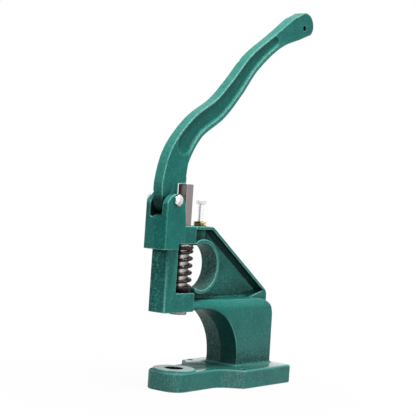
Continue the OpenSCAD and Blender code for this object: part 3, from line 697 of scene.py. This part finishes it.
def leverField(s):
    r = s["radii"]
    blade, hollow, ends = leverOutlines(s)
    gripEnd = leverPlaced(s, (s["reach"], 0)).x + s["gripR"]
    middle = s["pivotX"] + s["reach"] / 2
    nick = leverPoint(s, s["notch"][0], 1, 0)
    hole = leverPlaced(s, (s["reach"] - s["holeBack"], 0))
    (lowEnd, lowStart), (highStart, highEnd) = s["fadeLow"], s["fadeHigh"]
    less, split = s["lessBelow"]

    def field(x, y, z):
        side = np.abs(y)
        widen = np.clip((x - middle) / (gripEnd - middle), 0, 1)
        half = s["half"] + (s["gripHalf"] - s["half"]) * widen
        body = trim(outlineField(x, z, blade), side - half, r["edge"])
        pocket = outlineField(x, z, hollow)
        for spot, radius in ends:
            pocket = np.minimum(pocket, np.hypot(x - spot.x, z - spot.y) - radius)
        # the pocket's walls slope like a moulded hollow, and its floor rises towards both ends
        shallow = np.clip((lowStart - z) / (lowStart - lowEnd), 0, 1)
        shallow = shallow + np.clip((x - highStart) / (highEnd - highStart), 0, 1)
        floor = s["webHalf"] + (half - s["webHalf"]) * shallow * (s["lift"] - less * (z < split))
        walls = pocket - (side - s["webHalf"]) * s["wallLean"] + s["wallIn"]
        rim = s["rims"][0] + s["rims"][1] * np.minimum(shallow, 1)
        body = carve(body, trim(walls, floor - side, r["pocket"]), rim)
        dent = np.sqrt((x - nick.x) ** 2 + (y - half) ** 2 + (z - nick.y) ** 2)
        body = carve(body, dent - s["notch"][1], r["notch"])
        root = np.abs(x - s["pivotX"] - s["noseBack"] + s["tongueHalf"] / 2 - s["tongueReach"] / 2)
        tongue = np.maximum(root - s["tongueHalf"] / 2 - s["tongueReach"] / 2, side - s["tongueHalf"])
        tongue = np.maximum(tongue, np.maximum(s["pivotZ"] + s["stepUp"] - z,
                                               z - s["pivotZ"] - s["stepUp"] - s["tongueT"]))
        body = weld(body, tongue, r["tongue"])
        body = carve(body, np.hypot(x - hole.x, z - hole.y) - s["holeR"], r["hole"])
        return carve(body, np.hypot(x - s["pivotX"], z - s["pivotZ"]) - s["pinR"], r["pin"])
    return field


def handLever(material):
    s = lever
    field = leverField(s)
    points, faces, normal = skinned(field, *boxOf("handle_lever"), s["step"], s["share"])
    lift = castWaves(points, *s["waves"]) * s["wave"]
    middle = np.exp(-(points[:, 1] / s["seamWidth"]) ** 2) * (1 - np.abs(normal[:, 1]))
    reach = np.hypot(points[:, 0] - s["pivotX"], points[:, 2] - s["pivotZ"])
    shift = (np.minimum(lift, s["liftMost"]) + s["seam"] * middle - s["sink"]) * (reach > s["plainR"])
    skin = boxed("handle_lever", points + normal * shift[:, None])
    piece = meshPiece("handLever", skin, faces, material, "lever", "green_enamel", ["handle_lever"])
    dark, lit = leverTones(s, points, normal)
    # grit and painted glints rise with the painted light
    markSkin(piece, field, points, normal, s["proudReach"], s["shadeReach"],
             shade=dark, grit=0.22 + 0.28 * lit, lit=lit)


# The hollow gets painted shade against the two flanges, the under flange and the front face painted light,
# and the heel in its slot and the grip's hole painted shade.
def leverTones(s, points, normal):
    x, y, z = points.T
    stations = np.linspace(0, len(s["along"]) - 1, 120)
    spine = np.array([leverPoint(s, q, 1, smoothShare(s["depth"], q) * s["reach"]) for q in stations])
    front = np.array([leverPoint(s, q, 1, 0) for q in stations]) - spine
    deep = np.linalg.norm(front, axis=1)
    nearest, batch = np.zeros(len(points), int), 20000
    for start in range(0, len(points), batch):
        part = slice(start, start + batch)
        away = (x[part, None] - spine[:, 0]) ** 2 + (z[part, None] - spine[:, 1]) ** 2
        nearest[part] = np.argmin(away, axis=1)
    front, spine, deep = front[nearest], spine[nearest], deep[nearest]
    over = ((x - spine[:, 0]) * front[:, 0] + (z - spine[:, 1]) * front[:, 1]) / deep
    aboutPivot = np.hypot(x - s["pivotX"], z - s["pivotZ"])
    side = smooth(np.abs(normal[:, 1]), 0.75, 0.95)
    sunk = below(np.abs(y), s["half"] - 0.4, 3.2) * (aboutPivot > 20)
    fade = smooth(z, s["fadeLow"][0], s["fadeLow"][1] + 8) * below(x, s["fadeHigh"][1], 24)
    under = side * below(deep + over, s["underFlange"] + 0.5, 1.2) * fade
    sunk = sunk * (0.3 + 0.7 * fade)
    heel = below(z, s["pivotZ"] + 5.5, 4) * (aboutPivot < s["heelR"] + 2)
    bright = smooth(-normal[:, 0] + normal[:, 2], 0.7, 1.2)
    hole = leverPlaced(s, (s["reach"] - s["holeBack"], 0))
    heel = np.maximum(heel, below(np.hypot(x - hole.x, z - hole.y), s["holeR"] + 0.6, 0.3))
    dark = sunk * side * (0.26 + 0.2 * smooth(over, 0, 5)) + heel * 0.95
    return dark, np.clip(under * 0.5 + bright * 0.8, 0, 1)


# The ram: a square bar, a thin collar and a round rod with a spigot that the die holder takes.
ram = {
    "half": 6, "corner": 0.9, "top": 222.4, "topEdge": 1.1, "collarZ": 156.7, "collarT": 1, "collarR": 10.4,
    "collarEdges": (0.3, 0.2), "rodR": 8.2, "rodFoot": 104.9, "spigotR": 4.5, "spigot": 11, "spigotEdge": 0.6,
}


def ramField(s):
    def field(x, y, z):
        ring = np.hypot(x, y)
        side = np.maximum(np.abs(x), np.abs(y)) - s["half"]
        corner = trim(np.abs(x) - s["half"], np.abs(y) - s["half"], s["corner"])
        bar = trim(np.maximum(side, corner), z - s["top"], s["topEdge"])
        bar = np.maximum(bar, s["collarZ"] - z)
        collar = trim(ring - s["collarR"], z - s["collarZ"] - s["collarT"], s["collarEdges"][0])
        collar = trim(collar, s["collarZ"] - z, s["collarEdges"][1])
        rod = np.maximum(ring - s["rodR"], np.maximum(s["rodFoot"] - z, z - s["collarZ"] - 0.5))
        spigot = trim(ring - s["spigotR"], s["rodFoot"] - s["spigot"] - z, s["spigotEdge"])
        spigot = np.maximum(spigot, z - s["rodFoot"] - 1)
        return np.minimum(np.minimum(np.minimum(bar, collar), rod), spigot)
    return field


holder = {"radius": 9.5, "top": 104.9, "foot": 81.2, "edges": (0.8, 0.5), "fit": 0.05, "spare": 0.3,
          "socketR": 3.4, "socket": 10, "socketEdge": 0.7}


def holderField(s):
    def field(x, y, z):
        ring = np.hypot(x, y)
        body = trim(trim(ring - s["radius"], s["foot"] - z, s["edges"][0]), z - s["top"], s["edges"][1])
        top = np.maximum(ring - ram["spigotR"] - s["fit"], s["top"] - ram["spigot"] - s["spare"] - z)
        socket = np.maximum(ring - s["socketR"], z - s["foot"] - s["socket"])
        return np.maximum(carve(body, socket, s["socketEdge"]), -top)
    return field


springSeat = {"radius": 12, "thick": 0.8, "slack": 0.3}


def washerField(radius, hole, low, high, edge=0.25, holeEdge=0.2):
    def field(x, y, z):
        ring = np.hypot(x, y)
        body = trim(trim(ring - radius, low - z, edge), z - high, edge)
        return carve(body, ring - hole, holeEdge)
    return field


# A hexagon with its corners turned off at 30 degrees, from low to high along the screw's axis.
def hexHead(u, v, along, flats, low, high, both):
    ring, turned, slope = np.hypot(u, v), flats * 0.54, 1.7
    prism = hexField(u, v, flats)
    prism = np.maximum(prism, (ring - turned + (along - high) * slope) / 2)
    if both:
        prism = np.maximum(prism, (ring - turned - (along - low) * slope) / 2)
    return np.maximum(prism, np.maximum(low - along, along - high))


# A round shank with a screw thread between two heights.
thread = {"pitch": 1.1, "depth": 0.5, "runOut": 0.8, "steep": 0.85}


def threaded(u, v, along, radius, low, high, s=thread):
    ring = np.hypot(u, v)
    turn = np.arctan2(v, u) / (2 * math.pi)
    saw = np.abs(((along / s["pitch"] - turn) % 1) - 0.5) * 2
    cutIn = s["depth"] * saw * np.clip(along - low + 1, 0, 1) * np.clip((high - along) / s["runOut"], 0, 1)
    return (ring - radius + cutIn) * s["steep"]


# The pivot bolt goes through the fork from the near ear; its washer and nut are on the far one.
pivot = {
    "x": -32.6, "z": 204.5, "radius": 4, "flats": 11.8, "headT": 4.6, "forkHalf": 15.4, "show": 2,
    "crownR": 13.9, "crownIn": 9.4, "crownEdge": 0.5, "endEdge": 0.8,
    "washerR": 8, "washerT": 1.4, "slack": 0.3, "nutT": 5, "fit": 0.05, "nutEdge": 0.4,
}


def pivotBoltField(s):
    def field(x, y, z):
        u, v = z - s["z"], x - s["x"]
        end = s["forkHalf"] + s["washerT"] + s["nutT"] + s["show"]
        head = hexHead(v, u, -y, s["flats"], s["forkHalf"], s["forkHalf"] + s["headT"], False)
        crown = np.hypot(np.hypot(u, v), -y - s["forkHalf"] + s["crownIn"]) - s["crownR"]
        head = trim(head, crown, s["crownEdge"])
        shank = threaded(u, v, y, s["radius"], s["forkHalf"] + 1, end + 1)
        shank = np.maximum(trim(shank, y - end, s["endEdge"]), -s["forkHalf"] - 1 - y)
        return np.minimum(head, shank)
    return field


def pivotNutField(s):
    low = s["forkHalf"] + s["washerT"]

    def field(x, y, z):
        u, v = z - s["z"], x - s["x"]
        nut = hexHead(v, u, y, s["flats"], low, low + s["nutT"], True)
        return carve(nut, np.hypot(u, v) - s["radius"] - s["fit"], s["nutEdge"])
    return field


def pivotWasherField(s):
    plain = washerField(s["washerR"], s["radius"] + s["slack"], s["forkHalf"], s["forkHalf"] + s["washerT"])
    return lambda x, y, z: plain(x - s["x"], z - s["z"], y)


# The stop bolt stands in the arm, with its lock nut.
stop = {
    "x": 28.7, "armTop": 177.5, "radius": 3, "depth": 11.2, "headZ": 201.5, "headT": 4, "flats": 10,
    "threadDown": 20, "collarShare": 0.46, "collarHalf": 0.25,
    "lockT": 4.8, "lockFlats": 13, "lockTurn": 45, "fit": 0.05, "nutEdge": 0.4,
}


def stopBoltField(s):
    def field(x, y, z):
        u = x - s["x"]
        head = hexHead(y, u, z, s["flats"], s["headZ"], s["headZ"] + s["headT"], False)
        shank = threaded(u, y, z, s["radius"], s["armTop"] - s["threadDown"], s["armTop"] + s["lockT"] + 1)
        shank = np.maximum(shank, np.maximum(s["armTop"] - s["depth"] - z, z - s["headZ"] - 1))
        collar = np.maximum(np.hypot(u, y) - s["flats"] * s["collarShare"],
                            np.abs(z - s["headZ"]) - s["collarHalf"])
        return np.minimum(np.minimum(head, shank), collar)
    return field


def lockNutField(s):
    cos, sin = math.cos(math.radians(s["lockTurn"])), math.sin(math.radians(s["lockTurn"]))

    def field(x, y, z):
        u = x - s["x"]
        nut = hexHead(y * cos - u * sin, y * sin + u * cos, z, s["lockFlats"],
                      s["armTop"], s["armTop"] + s["lockT"], True)
        return carve(nut, np.hypot(u, y) - s["radius"] - s["fit"], s["nutEdge"])
    return field


def steelPiece(name, node, field, material, body, slot, step):
    proudReach, shadeReach = 0.6, 3.0
    points, faces, normal = skinned(field, *boxOf(node), step)
    piece = meshPiece(name, points, faces, material, body, slot, [node])
    markSkin(piece, field, points, normal, proudReach, shadeReach)


# The return spring, swept by a geometry tree along a helix whose end turns are closed and ground.
spring = {"wire": 3.6, "outer": 25.4, "turns": 7, "closed": 1, "endGap": 0.5, "low": 105.5, "high": 155.9,
          "start": 307, "perTurn": 48, "sides": 20, "keep": 0.6778}


def springTree(material):
    tree = bpy.data.node_groups.new("springSweep", "GeometryNodeTree")
    tree.interface.new_socket("Geometry", in_out="INPUT", socket_type="NodeSocketGeometry")
    for label in ("Wire Radius", "Coil Radius", "Turns", "Start", "Low", "Rise", "End Pitch", "Closed"):
        tree.interface.new_socket(label, in_out="INPUT", socket_type="NodeSocketFloat")
    tree.interface.new_socket("Steps", in_out="INPUT", socket_type="NodeSocketInt")
    tree.interface.new_socket("Geometry", in_out="OUTPUT", socket_type="NodeSocketGeometry")
    start = tree.nodes.new("NodeGroupInput")
    given = {socket.name: Wire(tree, socket) for socket in start.outputs}
    make = Wire(tree)
    line = make.node("GeometryNodeMeshLine", {"mode": "OFFSET"},
                     {"Count": given["Steps"], "Offset": (0, 0, 0.001)})
    wire = make.node("GeometryNodeMeshToCurve", None, {"Mesh": line})
    turn = make.node("GeometryNodeSplineParameter") * given["Turns"]
    plainTurns = given["Turns"] - given["Closed"] * 2
    mainPitch = (given["Rise"] - given["Closed"] * given["End Pitch"] * 2) / plainTurns
    ends = turn.least(given["Closed"]) + (turn - given["Turns"] + given["Closed"]).most(0)
    middle = (turn - given["Closed"]).most(0).least(plainTurns)
    height = given["Low"] + ends * given["End Pitch"] + middle * mainPitch
    angle = turn * (2 * math.pi) + given["Start"]
    reach = given["Coil Radius"]
    spot = make.node("ShaderNodeCombineXYZ", None,
                     {"X": angle.cosine() * reach, "Y": angle.sine() * reach, "Z": height})
    coil = make.node("GeometryNodeSetPosition", None, {"Geometry": wire, "Position": spot})
    section = make.node("GeometryNodeCurvePrimitiveCircle", None,
                        {"Resolution": spring["sides"], "Radius": given["Wire Radius"]})
    tube = make.node("GeometryNodeCurveToMesh", None,
                     {"Curve": coil, "Profile Curve": section, "Fill Caps": True})
    # both ends are ground level with the seats
    across, over, up = make.node("GeometryNodeInputPosition").parts()
    floor = given["Low"] - given["Wire Radius"]
    level = up.most(floor).least(floor + given["Rise"] + given["Wire Radius"] * 2)
    flat = make.node("ShaderNodeCombineXYZ", None, {"X": across, "Y": over, "Z": level})
    tube = make.node("GeometryNodeSetPosition", None, {"Geometry": tube, "Position": flat})
    tube = make.node("GeometryNodeRealizeInstances", None, {"Geometry": tube})
    tube = make.node("GeometryNodeSetMaterial", None, {"Geometry": tube, "Material": material})
    end = tree.nodes.new("NodeGroupOutput")
    tree.links.new(tube.socket, end.inputs["Geometry"])
    return tree


def returnCoil(material):
    s = spring
    tree = springTree(material)
    carrier = placed("returnCoil", bpy.data.meshes.new("returnCoil"))
    sweep = carrier.modifiers.new("sweep", "NODES")
    sweep.node_group = tree
    amounts = {
        "Wire Radius": s["wire"] / 2 * mm, "Coil Radius": (s["outer"] - s["wire"]) / 2 * mm,
        "Turns": float(s["turns"]), "Closed": float(s["closed"]), "Start": math.radians(s["start"]),
        "Low": (s["low"] + s["wire"] / 2) * mm, "Rise": (s["high"] - s["low"] - s["wire"]) * mm,
        "End Pitch": (s["wire"] + s["endGap"]) * mm, "Steps": int(s["turns"] * s["perTurn"]) + 1}
    for item in tree.interface.items_tree:
        if item.in_out == "INPUT" and item.name in amounts:
            sweep[item.identifier] = amounts[item.name]
    reach = bpy.context.evaluated_depsgraph_get()
    carrier.data = bpy.data.meshes.new_from_object(carrier.evaluated_get(reach))
    carrier.modifiers.clear()
    finishPiece(carrier, "ram", "spring_steel", ["return_spring"])
    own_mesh(carrier)


def newFinish(name):
    material = bpy.data.materials.new(name)
    material.use_nodes = True
    tree = material.node_tree
    return material, Wire(tree), tree.nodes["Principled BSDF"]


def noise(make, spot, scale, detail=3.0, rough=0.55):
    return make.node("ShaderNodeTexNoise", None,
                     {"Vector": spot, "Scale": scale, "Detail": detail, "Roughness": rough})


enamel = {
    # the pale green takes wear and painted highlights
    "deep": (0.0045, 0.116, 0.100, 1), "main": (0.0075, 0.142, 0.122, 1), "pale": (0.26, 0.56, 0.49, 1),
    # the light green is painted light, the near-black green painted shade, and the iron bare iron darkened as
    # painted shade
    "lit": (0.045, 0.255, 0.205, 1), "dark": (0.0005, 0.010, 0.0095, 1), "iron": (0.012, 0.011, 0.010, 1),
    # the light specks are painted glints and the grey a painted sheen
    "glintSpeck": (0.075, 0.30, 0.265, 1), "pit": (0.001, 0.040, 0.036, 1), "greying": (0.30, 0.34, 0.335, 1),
    "cloud": 40, "grain": 560, "coarse": 0.36, "bump": 0.0013, "bumpShare": 0.8,
    # ranges of the noises at which each effect begins and is full, and what share it takes
    "clouds": (0.32, 0.68), "pits": (0.02, 0.10), "wearAndHighlights": (0.3, 0.95), "wearAndHighlightGrain": (0.3, 0.6),
    "glintSpecks": (0.53, 0.60), "litShares": (0.55, 0.4), "wearAndHighlightShares": (0.75, 0.2), "lineShares": (0.7, 0.6),
    "glintSpeckShares": (0.7, 0.3), "glintSpeckShade": (0.8, 0.5), "relief": (0.12, 0.88),
    "greyingUpTo": 0.125, "greyingMost": 0.075, "pitMost": 0.85, "wearAndHighlightMost": 0.7, "shadeMost": 0.94,
    "lineFade": (0.0006, 0.0004, 0.001), "lineOut": (0.0112, 0.0114),
    "rough": {"plain": 0.24, "cloud": 0.12, "shade": 0.1, "top": 0.5, "bare": 0.3, "matt": 0.45},
    "gloss": 0.095, "coatRough": 0.12, "coatShade": 0.8,
}


# Paint that reads the marks; a mark that a piece lacks counts as none.
def greenEnamel(name, edges=()):
    s = enamel
    material, make, shader = newFinish(name)
    spot = make.node("ShaderNodeTexCoord", out=3)
    across, over, up = spot.parts()
    cloud = noise(make, spot, s["cloud"], 4)
    grain = noise(make, spot, s["grain"], 3, 0.62)
    coarse = noise(make, spot, s["grain"] * s["coarse"], 2, 0.5)
    grit, lit, shade, bare, top, paintedSheen, wornAndHighlit, matt = (
        make.node("ShaderNodeAttribute", {"attribute_name": mark}, out=2)
        for mark in ("grit", "lit", "shade", "bare", "top", "paintedSheen", "wearAndHighlight", "matt"))
    paint = cloud.between(*s["clouds"]).mix(s["deep"], s["main"])
    # painted light where the lit mark says
    plain, clouded = s["litShares"]
    paint = (lit * (plain + cloud * clouded)).least(1).mix(paint, s["lit"])
    # greyer towards the floor, and a painted sheen where that mark says
    greying = (1 - up.between(0.0, s["greyingUpTo"])) * s["greyingMost"] + paintedSheen
    paint = greying.mix(paint, s["greying"])
    paint = ((0.5 - grain).between(*s["pits"]) * grit * s["pitMost"]).mix(paint, s["pit"])
    # wear and painted highlights on proud edges
    grained, plain = s["wearAndHighlightShares"]
    wearAndHighlight = (wornAndHighlit.between(*s["wearAndHighlights"]) * (grain.between(*s["wearAndHighlightGrain"]) * grained + plain)).least(1)
    # painted highlight lines along straight edges, given as ranges of X and Z on the outer faces
    nearFade, farFade, endFade = s["lineFade"]
    plain, grained = s["lineShares"]
    for low, high, foot, head in edges:
        line = up.between(foot, foot + endFade) - up.between(head, head + endFade)
        line = across.between(low, low + nearFade) * line
        line = (line - across.between(high, high + farFade)).most(0) * over.size().between(*s["lineOut"])
        wearAndHighlight = wearAndHighlight.most(line * (plain + grain * grained))
    paint = (wearAndHighlight * s["wearAndHighlightMost"]).mix(paint, s["pale"])
    # painted shade where the shade mark says
    paint = (shade * s["shadeMost"]).mix(paint, s["dark"])
    # painted glints on the coarse skin, fewer in painted shade
    fine, large = s["glintSpeckShares"]
    plain, shaded = s["glintSpeckShade"]
    glintSpeck = (grain * fine + coarse * large).between(*s["glintSpecks"]) * grit * (plain - shade * shaded)
    paint = glintSpeck.mix(paint, s["glintSpeck"])
    # bare iron, near-black as painted shade inside the bores
    paint = bare.mix(paint, s["iron"])
    r = s["rough"]
    rough = (r["plain"] + cloud * r["cloud"] + shade * r["shade"]) * (1 - top * r["top"])
    rough = rough + bare * r["bare"] + matt * r["matt"]
    plain, gritty = s["relief"]
    height = grain * (plain + grit * gritty) + coarse * plain
    finish(make, shader, paint, 0.0, rough, height, s["bump"], s["bumpShare"])
    make.feed(shader, {"Specular IOR Level": s["gloss"], "Coat Roughness": s["coatRough"],
                       "Coat Weight": top * (1 - bare) * (1 - shade * s["coatShade"])})
    return material


# Gives a finish its colour, metallic share, roughness and fine relief.
def finish(make, shader, tone, metallic, rough, height, distance, strength):
    skin = make.node("ShaderNodeBump", None, {"Height": height, "Distance": distance, "Strength": strength})
    make.feed(shader, {"Base Color": tone, "Metallic": metallic, "Roughness": rough, "Normal": skin})


# Colours of the metals, and ranges in metres where the bar, the rod and the bolts change.
steel = {
    # the rod's two tones are painted highlight and painted shade
    "ground": (0.262, 0.234, 0.23, 1), "rodHighlight": (0.66, 0.63, 0.60, 1), "rodShaded": (0.17, 0.155, 0.15, 1),
    # the near-black is painted shade and dark reflection
    "paintedShade": (0.006, 0.005, 0.004, 1), "tarnish": (0.19, 0.135, 0.11, 1),
    # the brown plating tone is painted shade
    "plate": (0.80, 0.80, 0.82, 1), "plateDull": (0.42, 0.41, 0.42, 1), "plateShaded": (0.24, 0.19, 0.17, 1),
    "barFront": (0.0054, 0.0059), "barStain": (-0.0035, 0.005), "bands": (0.0035, 0.0085),
    "underFoot": (-0.1092, -0.1082), "underCollar": (-0.1588, -0.1578), "overHolder": (0.1049, 0.1050),
    "stopBolt": (0.015, 0.016), "underPivot": (-0.2055, -0.2015),
    # scales of the noises, and the ranges in which they count
    "streak": (900, 900, 22), "stain": 90, "stains": (0.52, 0.78), "stainMost": 0.55, "ripple": 0.003,
    "paintedShadeMost": 0.97, "bandSkew": 0.25, "bandShares": (0.6, 0.5),
    "bareRough": {"plain": 0.26, "streak": 0.16, "stain": 0.12, "paintedShade": 0.2}, "streakDepth": 0.00004,
    "cloud": 260, "clouds": (0.5, 0.75), "cloudMost": 0.5, "dent": 430, "dentDepth": 0.0008,
    "plateShades": (0.35, 0.6), "plateShadeMost": 0.8, "plateRough": (0.12, 0.18),
}


def bareSteel():
    s = steel
    material, make, shader = newFinish("bareSteel")
    spot = make.node("ShaderNodeTexCoord", out=3)
    across, over, up = spot.parts()
    streak = noise(make, make.node("ShaderNodeMapping", None, {"Vector": spot, "Scale": s["streak"]}), 1)
    stain = noise(make, spot, s["stain"], 4).between(*s["stains"])
    tone = (stain * s["stainMost"]).mix(s["ground"], s["tarnish"])
    # painted shade and dark reflection blacken the far half of the bar's front face
    edge = over + (streak - 0.5) * s["ripple"]
    paintedShade = (across * -1).between(*s["barFront"]) * edge.between(*s["barStain"])
    tone = (paintedShade * s["paintedShadeMost"]).mix(tone, s["paintedShade"])
    # the rod gets painted highlights in two long bands and painted shade at its foot
    bands = (across + over * s["bandSkew"]).size().between(*s["bands"])
    plain, streaked = s["bandShares"]
    shine = (bands * (plain + streak * streaked)).least(1).mix(s["rodShaded"], s["rodHighlight"])
    down = up * -1
    shine = down.between(*s["underFoot"]).mix(shine, s["paintedShade"])
    tone = (down.between(*s["underCollar"]) * up.between(*s["overHolder"])).mix(tone, shine)
    r = s["bareRough"]
    rough = r["plain"] + streak * r["streak"] + stain * r["stain"] + paintedShade * r["paintedShade"]
    finish(make, shader, tone, 1.0, rough, streak, s["streakDepth"], 0.5)
    return material


# Bright plating: the pivot's head is dented and has painted brownish shade below, the stop bolt is smooth.
def brightPlate():
    s = steel
    material, make, shader = newFinish("brightPlate")
    spot = make.node("ShaderNodeTexCoord", out=3)
    across, _, up = spot.parts()
    cloud = noise(make, spot, s["cloud"])
    atPivot = 1 - across.between(*s["stopBolt"])
    dent = noise(make, spot, s["dent"], 2) * atPivot
    tone = (cloud.between(*s["clouds"]) * s["cloudMost"]).mix(s["plate"], s["plateDull"])
    # painted brownish shade on the lower half of the pivot's head
    lower = (up * -1).between(*s["underPivot"]) * atPivot
    tone = (lower * cloud.between(*s["plateShades"]) * s["plateShadeMost"]).mix(tone, s["plateShaded"])
    plain, clouded = s["plateRough"]
    finish(make, shader, tone, 1.0, plain + cloud * clouded, dent, s["dentDepth"], 0.6)
    return material


cloudySteel = {
    "scale": 330, "clouds": (0.48, 0.72), "share": 0.7, "metallic": 0.9, "rough": 0.25, "bump": 0.4,
    "tones": ((0.022, 0.018, 0.017, 1), (0.15, 0.13, 0.12, 1))}
cloudyYellow = {
    "scale": 240, "clouds": (0.36, 0.58), "share": 1.0, "metallic": 1.0, "rough": 0.22, "bump": 0.3,
    "tones": ((0.62, 0.46, 0.25, 1), (0.12, 0.09, 0.028, 1))}


def cloudyMetal(name, s):
    material, make, shader = newFinish(name)
    cloud = noise(make, make.node("ShaderNodeTexCoord", out=3), s["scale"])
    tone = (cloud.between(*s["clouds"]) * s["share"]).mix(*s["tones"])
    finish(make, shader, tone, s["metallic"], s["rough"] + cloud * 0.2, cloud, 0.0001, s["bump"])
    return material


# The camera of the picture: turns in degrees, focal length in pixels, lengths in millimetres.
picture = {"azimuth": -52.748, "pitch": 0.872, "roll": 3.88, "focal": 1219.354, "width": 416,
           "aim": (41.561, 0.0, 197.638), "distance": 1352.152, "sensor": 36, "clip": (0.05, 20)}


def setCamera(s):
    az, dip, roll = (math.radians(s[k]) for k in ("azimuth", "pitch", "roll"))
    ahead = Vector((-math.sin(az) * math.cos(dip), math.cos(az) * math.cos(dip), -math.sin(dip)))
    right = Vector((math.cos(az), math.sin(az), 0))
    up = right.cross(ahead)
    across = right * math.cos(roll) + up * math.sin(roll)
    over = -right * math.sin(roll) + up * math.cos(roll)
    spot = (Vector(s["aim"]) - ahead * s["distance"]) * mm
    data = bpy.data.cameras.new("pictureCamera")
    data.sensor_width = s["sensor"]
    data.lens = s["sensor"] * s["focal"] / s["width"]
    data.clip_start, data.clip_end = s["clip"]
    camera = placed("pictureCamera", data)
    camera.matrix_world = Matrix([
        (across.x, over.x, -ahead.x, spot.x), (across.y, over.y, -ahead.y, spot.y),
        (across.z, over.z, -ahead.z, spot.z), (0, 0, 0, 1)])
    bpy.context.scene.camera = camera


studio = {
    "floorHalf": 3.0, "floorTone": 0.5, "floorRough": 0.9, "ambient": 0.30,
    "near": 0.10, "far": 0.32, "shadow": 0.05,  # the floor's soft shadow round the origin
    "lamps": [
        # name, place, aim, size, watts
        ("overheadSoftbox", (-0.25, -0.30, 1.95), (0.05, 0, 0.2), 1.0, 47),
        ("sideSoftbox", (0.55, -1.95, 0.75), (0.03, 0, 0.15), 1.2, 12),
        ("sparkle", (-1.15, -1.50, 0.75), (0.03, 0, 0.15), 0.22, 5),
    ],
}


# 1 where a surface is looked at, directly or in a reflection, and 0 where it only lights others.
def lookedAt(make):
    rays = make.tree.nodes.new("ShaderNodeLightPath").outputs
    direct, glossy, through = (
        Wire(make.tree, rays[kind]) for kind in ("Is Camera Ray", "Is Glossy Ray", "Is Transmission Ray"))
    return direct.most(glossy).most(through)


def setStudio(s):
    floor = bpy.data.meshes.new("paleFloor")
    h = s["floorHalf"]
    floor.from_pydata([(-h, -h, 0), (h, -h, 0), (h, h, 0), (-h, h, 0)], [], [(0, 1, 2, 3)])
    sheet = placed("paleFloor", floor)
    material, make, shader = newFinish("paleFloor")
    make.feed(shader, {"Base Color": (s["floorTone"],) * 3 + (1,), "Roughness": s["floorRough"]})
    glow = make.node("ShaderNodeEmission", None, {"Color": (1, 1, 1, 1), "Strength": 1.0})
    spot = make.node("ShaderNodeTexCoord", out=3)
    away = make.node("ShaderNodeVectorMath", {"operation": "LENGTH"}, {0: spot}, out=1)
    seen = lookedAt(make) * (1 - s["shadow"] * (1 - away.between(s["near"], s["far"])))
    blend = make.node("ShaderNodeMixShader", None, {0: seen, 1: Wire(make.tree, shader.outputs[0]), 2: glow})
    make.tree.links.new(blend.socket, make.tree.nodes["Material Output"].inputs["Surface"])
    floor.materials.append(material)
    for name, place, aim, size, watts in s["lamps"]:
        lamp = bpy.data.lights.new(name, "AREA")
        lamp.shape, lamp.size, lamp.energy = "DISK", size, watts
        stand = placed(name, lamp)
        stand.location = place
        stand.rotation_euler = (Vector(place) - Vector(aim)).to_track_quat("Z", "Y").to_euler()
    world = bpy.data.worlds.new("paleRoom")
    bpy.context.scene.world = world
    world.use_nodes = True
    room = Wire(world.node_tree)
    tone = lookedAt(room).mix((s["ambient"],) * 3 + (1,), (1, 1, 1, 1))
    room.feed(world.node_tree.nodes["Background"], {"Color": tone})
    bpy.context.scene.view_settings.view_transform = "Standard"


setCamera(picture)
setStudio(studio)
print("camera and studio set")

# painted highlight lines on the arm's back edge and the block's back edge
enamelFrame = greenEnamel("enamelFrame", [(0.0086, 0.0102, 0.158, 0.1765), (0.0120, 0.0136, 0.0845, 0.1045)])
castFrame(enamelFrame)
handLever(greenEnamel("enamelLever"))
print("castings made")

bare, plate, yellow = bareSteel(), brightPlate(), cloudyMetal("yellowPlate", cloudyYellow)
seatHole, seatLow = ram["rodR"] + springSeat["slack"], ram["collarZ"] - springSeat["thick"]
seatField = washerField(springSeat["radius"], seatHole, seatLow, ram["collarZ"])
# name, node, field, finish, body, slot, step
for piece in (
        ("ramBar", "ram_shaft", ramField(ram), bare, "ram", "bare_steel", 0.42),
        ("dieHolder", "die_holder", holderField(holder), bare, "ram", "bare_steel", 0.42),
        ("springPlate", "spring_washer", seatField, bare, "ram", "bare_steel", 0.3),
        ("pivotBolt", "pivot_bolt", pivotBoltField(pivot), plate, "frame", "plated_steel", 0.3),
        ("pivotWasher", "pivot_washer", pivotWasherField(pivot), plate, "frame", "plated_steel", 0.3),
        ("pivotNut", "pivot_nut", pivotNutField(pivot), plate, "frame", "plated_steel", 0.3),
        ("stopBolt", "adjusting_bolt", stopBoltField(stop), plate, "frame", "plated_steel", 0.3),
        ("lockNut", "lock_nut", lockNutField(stop), yellow, "frame", "yellow_plating", 0.3)):
    steelPiece(*piece)
returnCoil(cloudyMetal("springSteel", cloudySteel))
print("steel made")
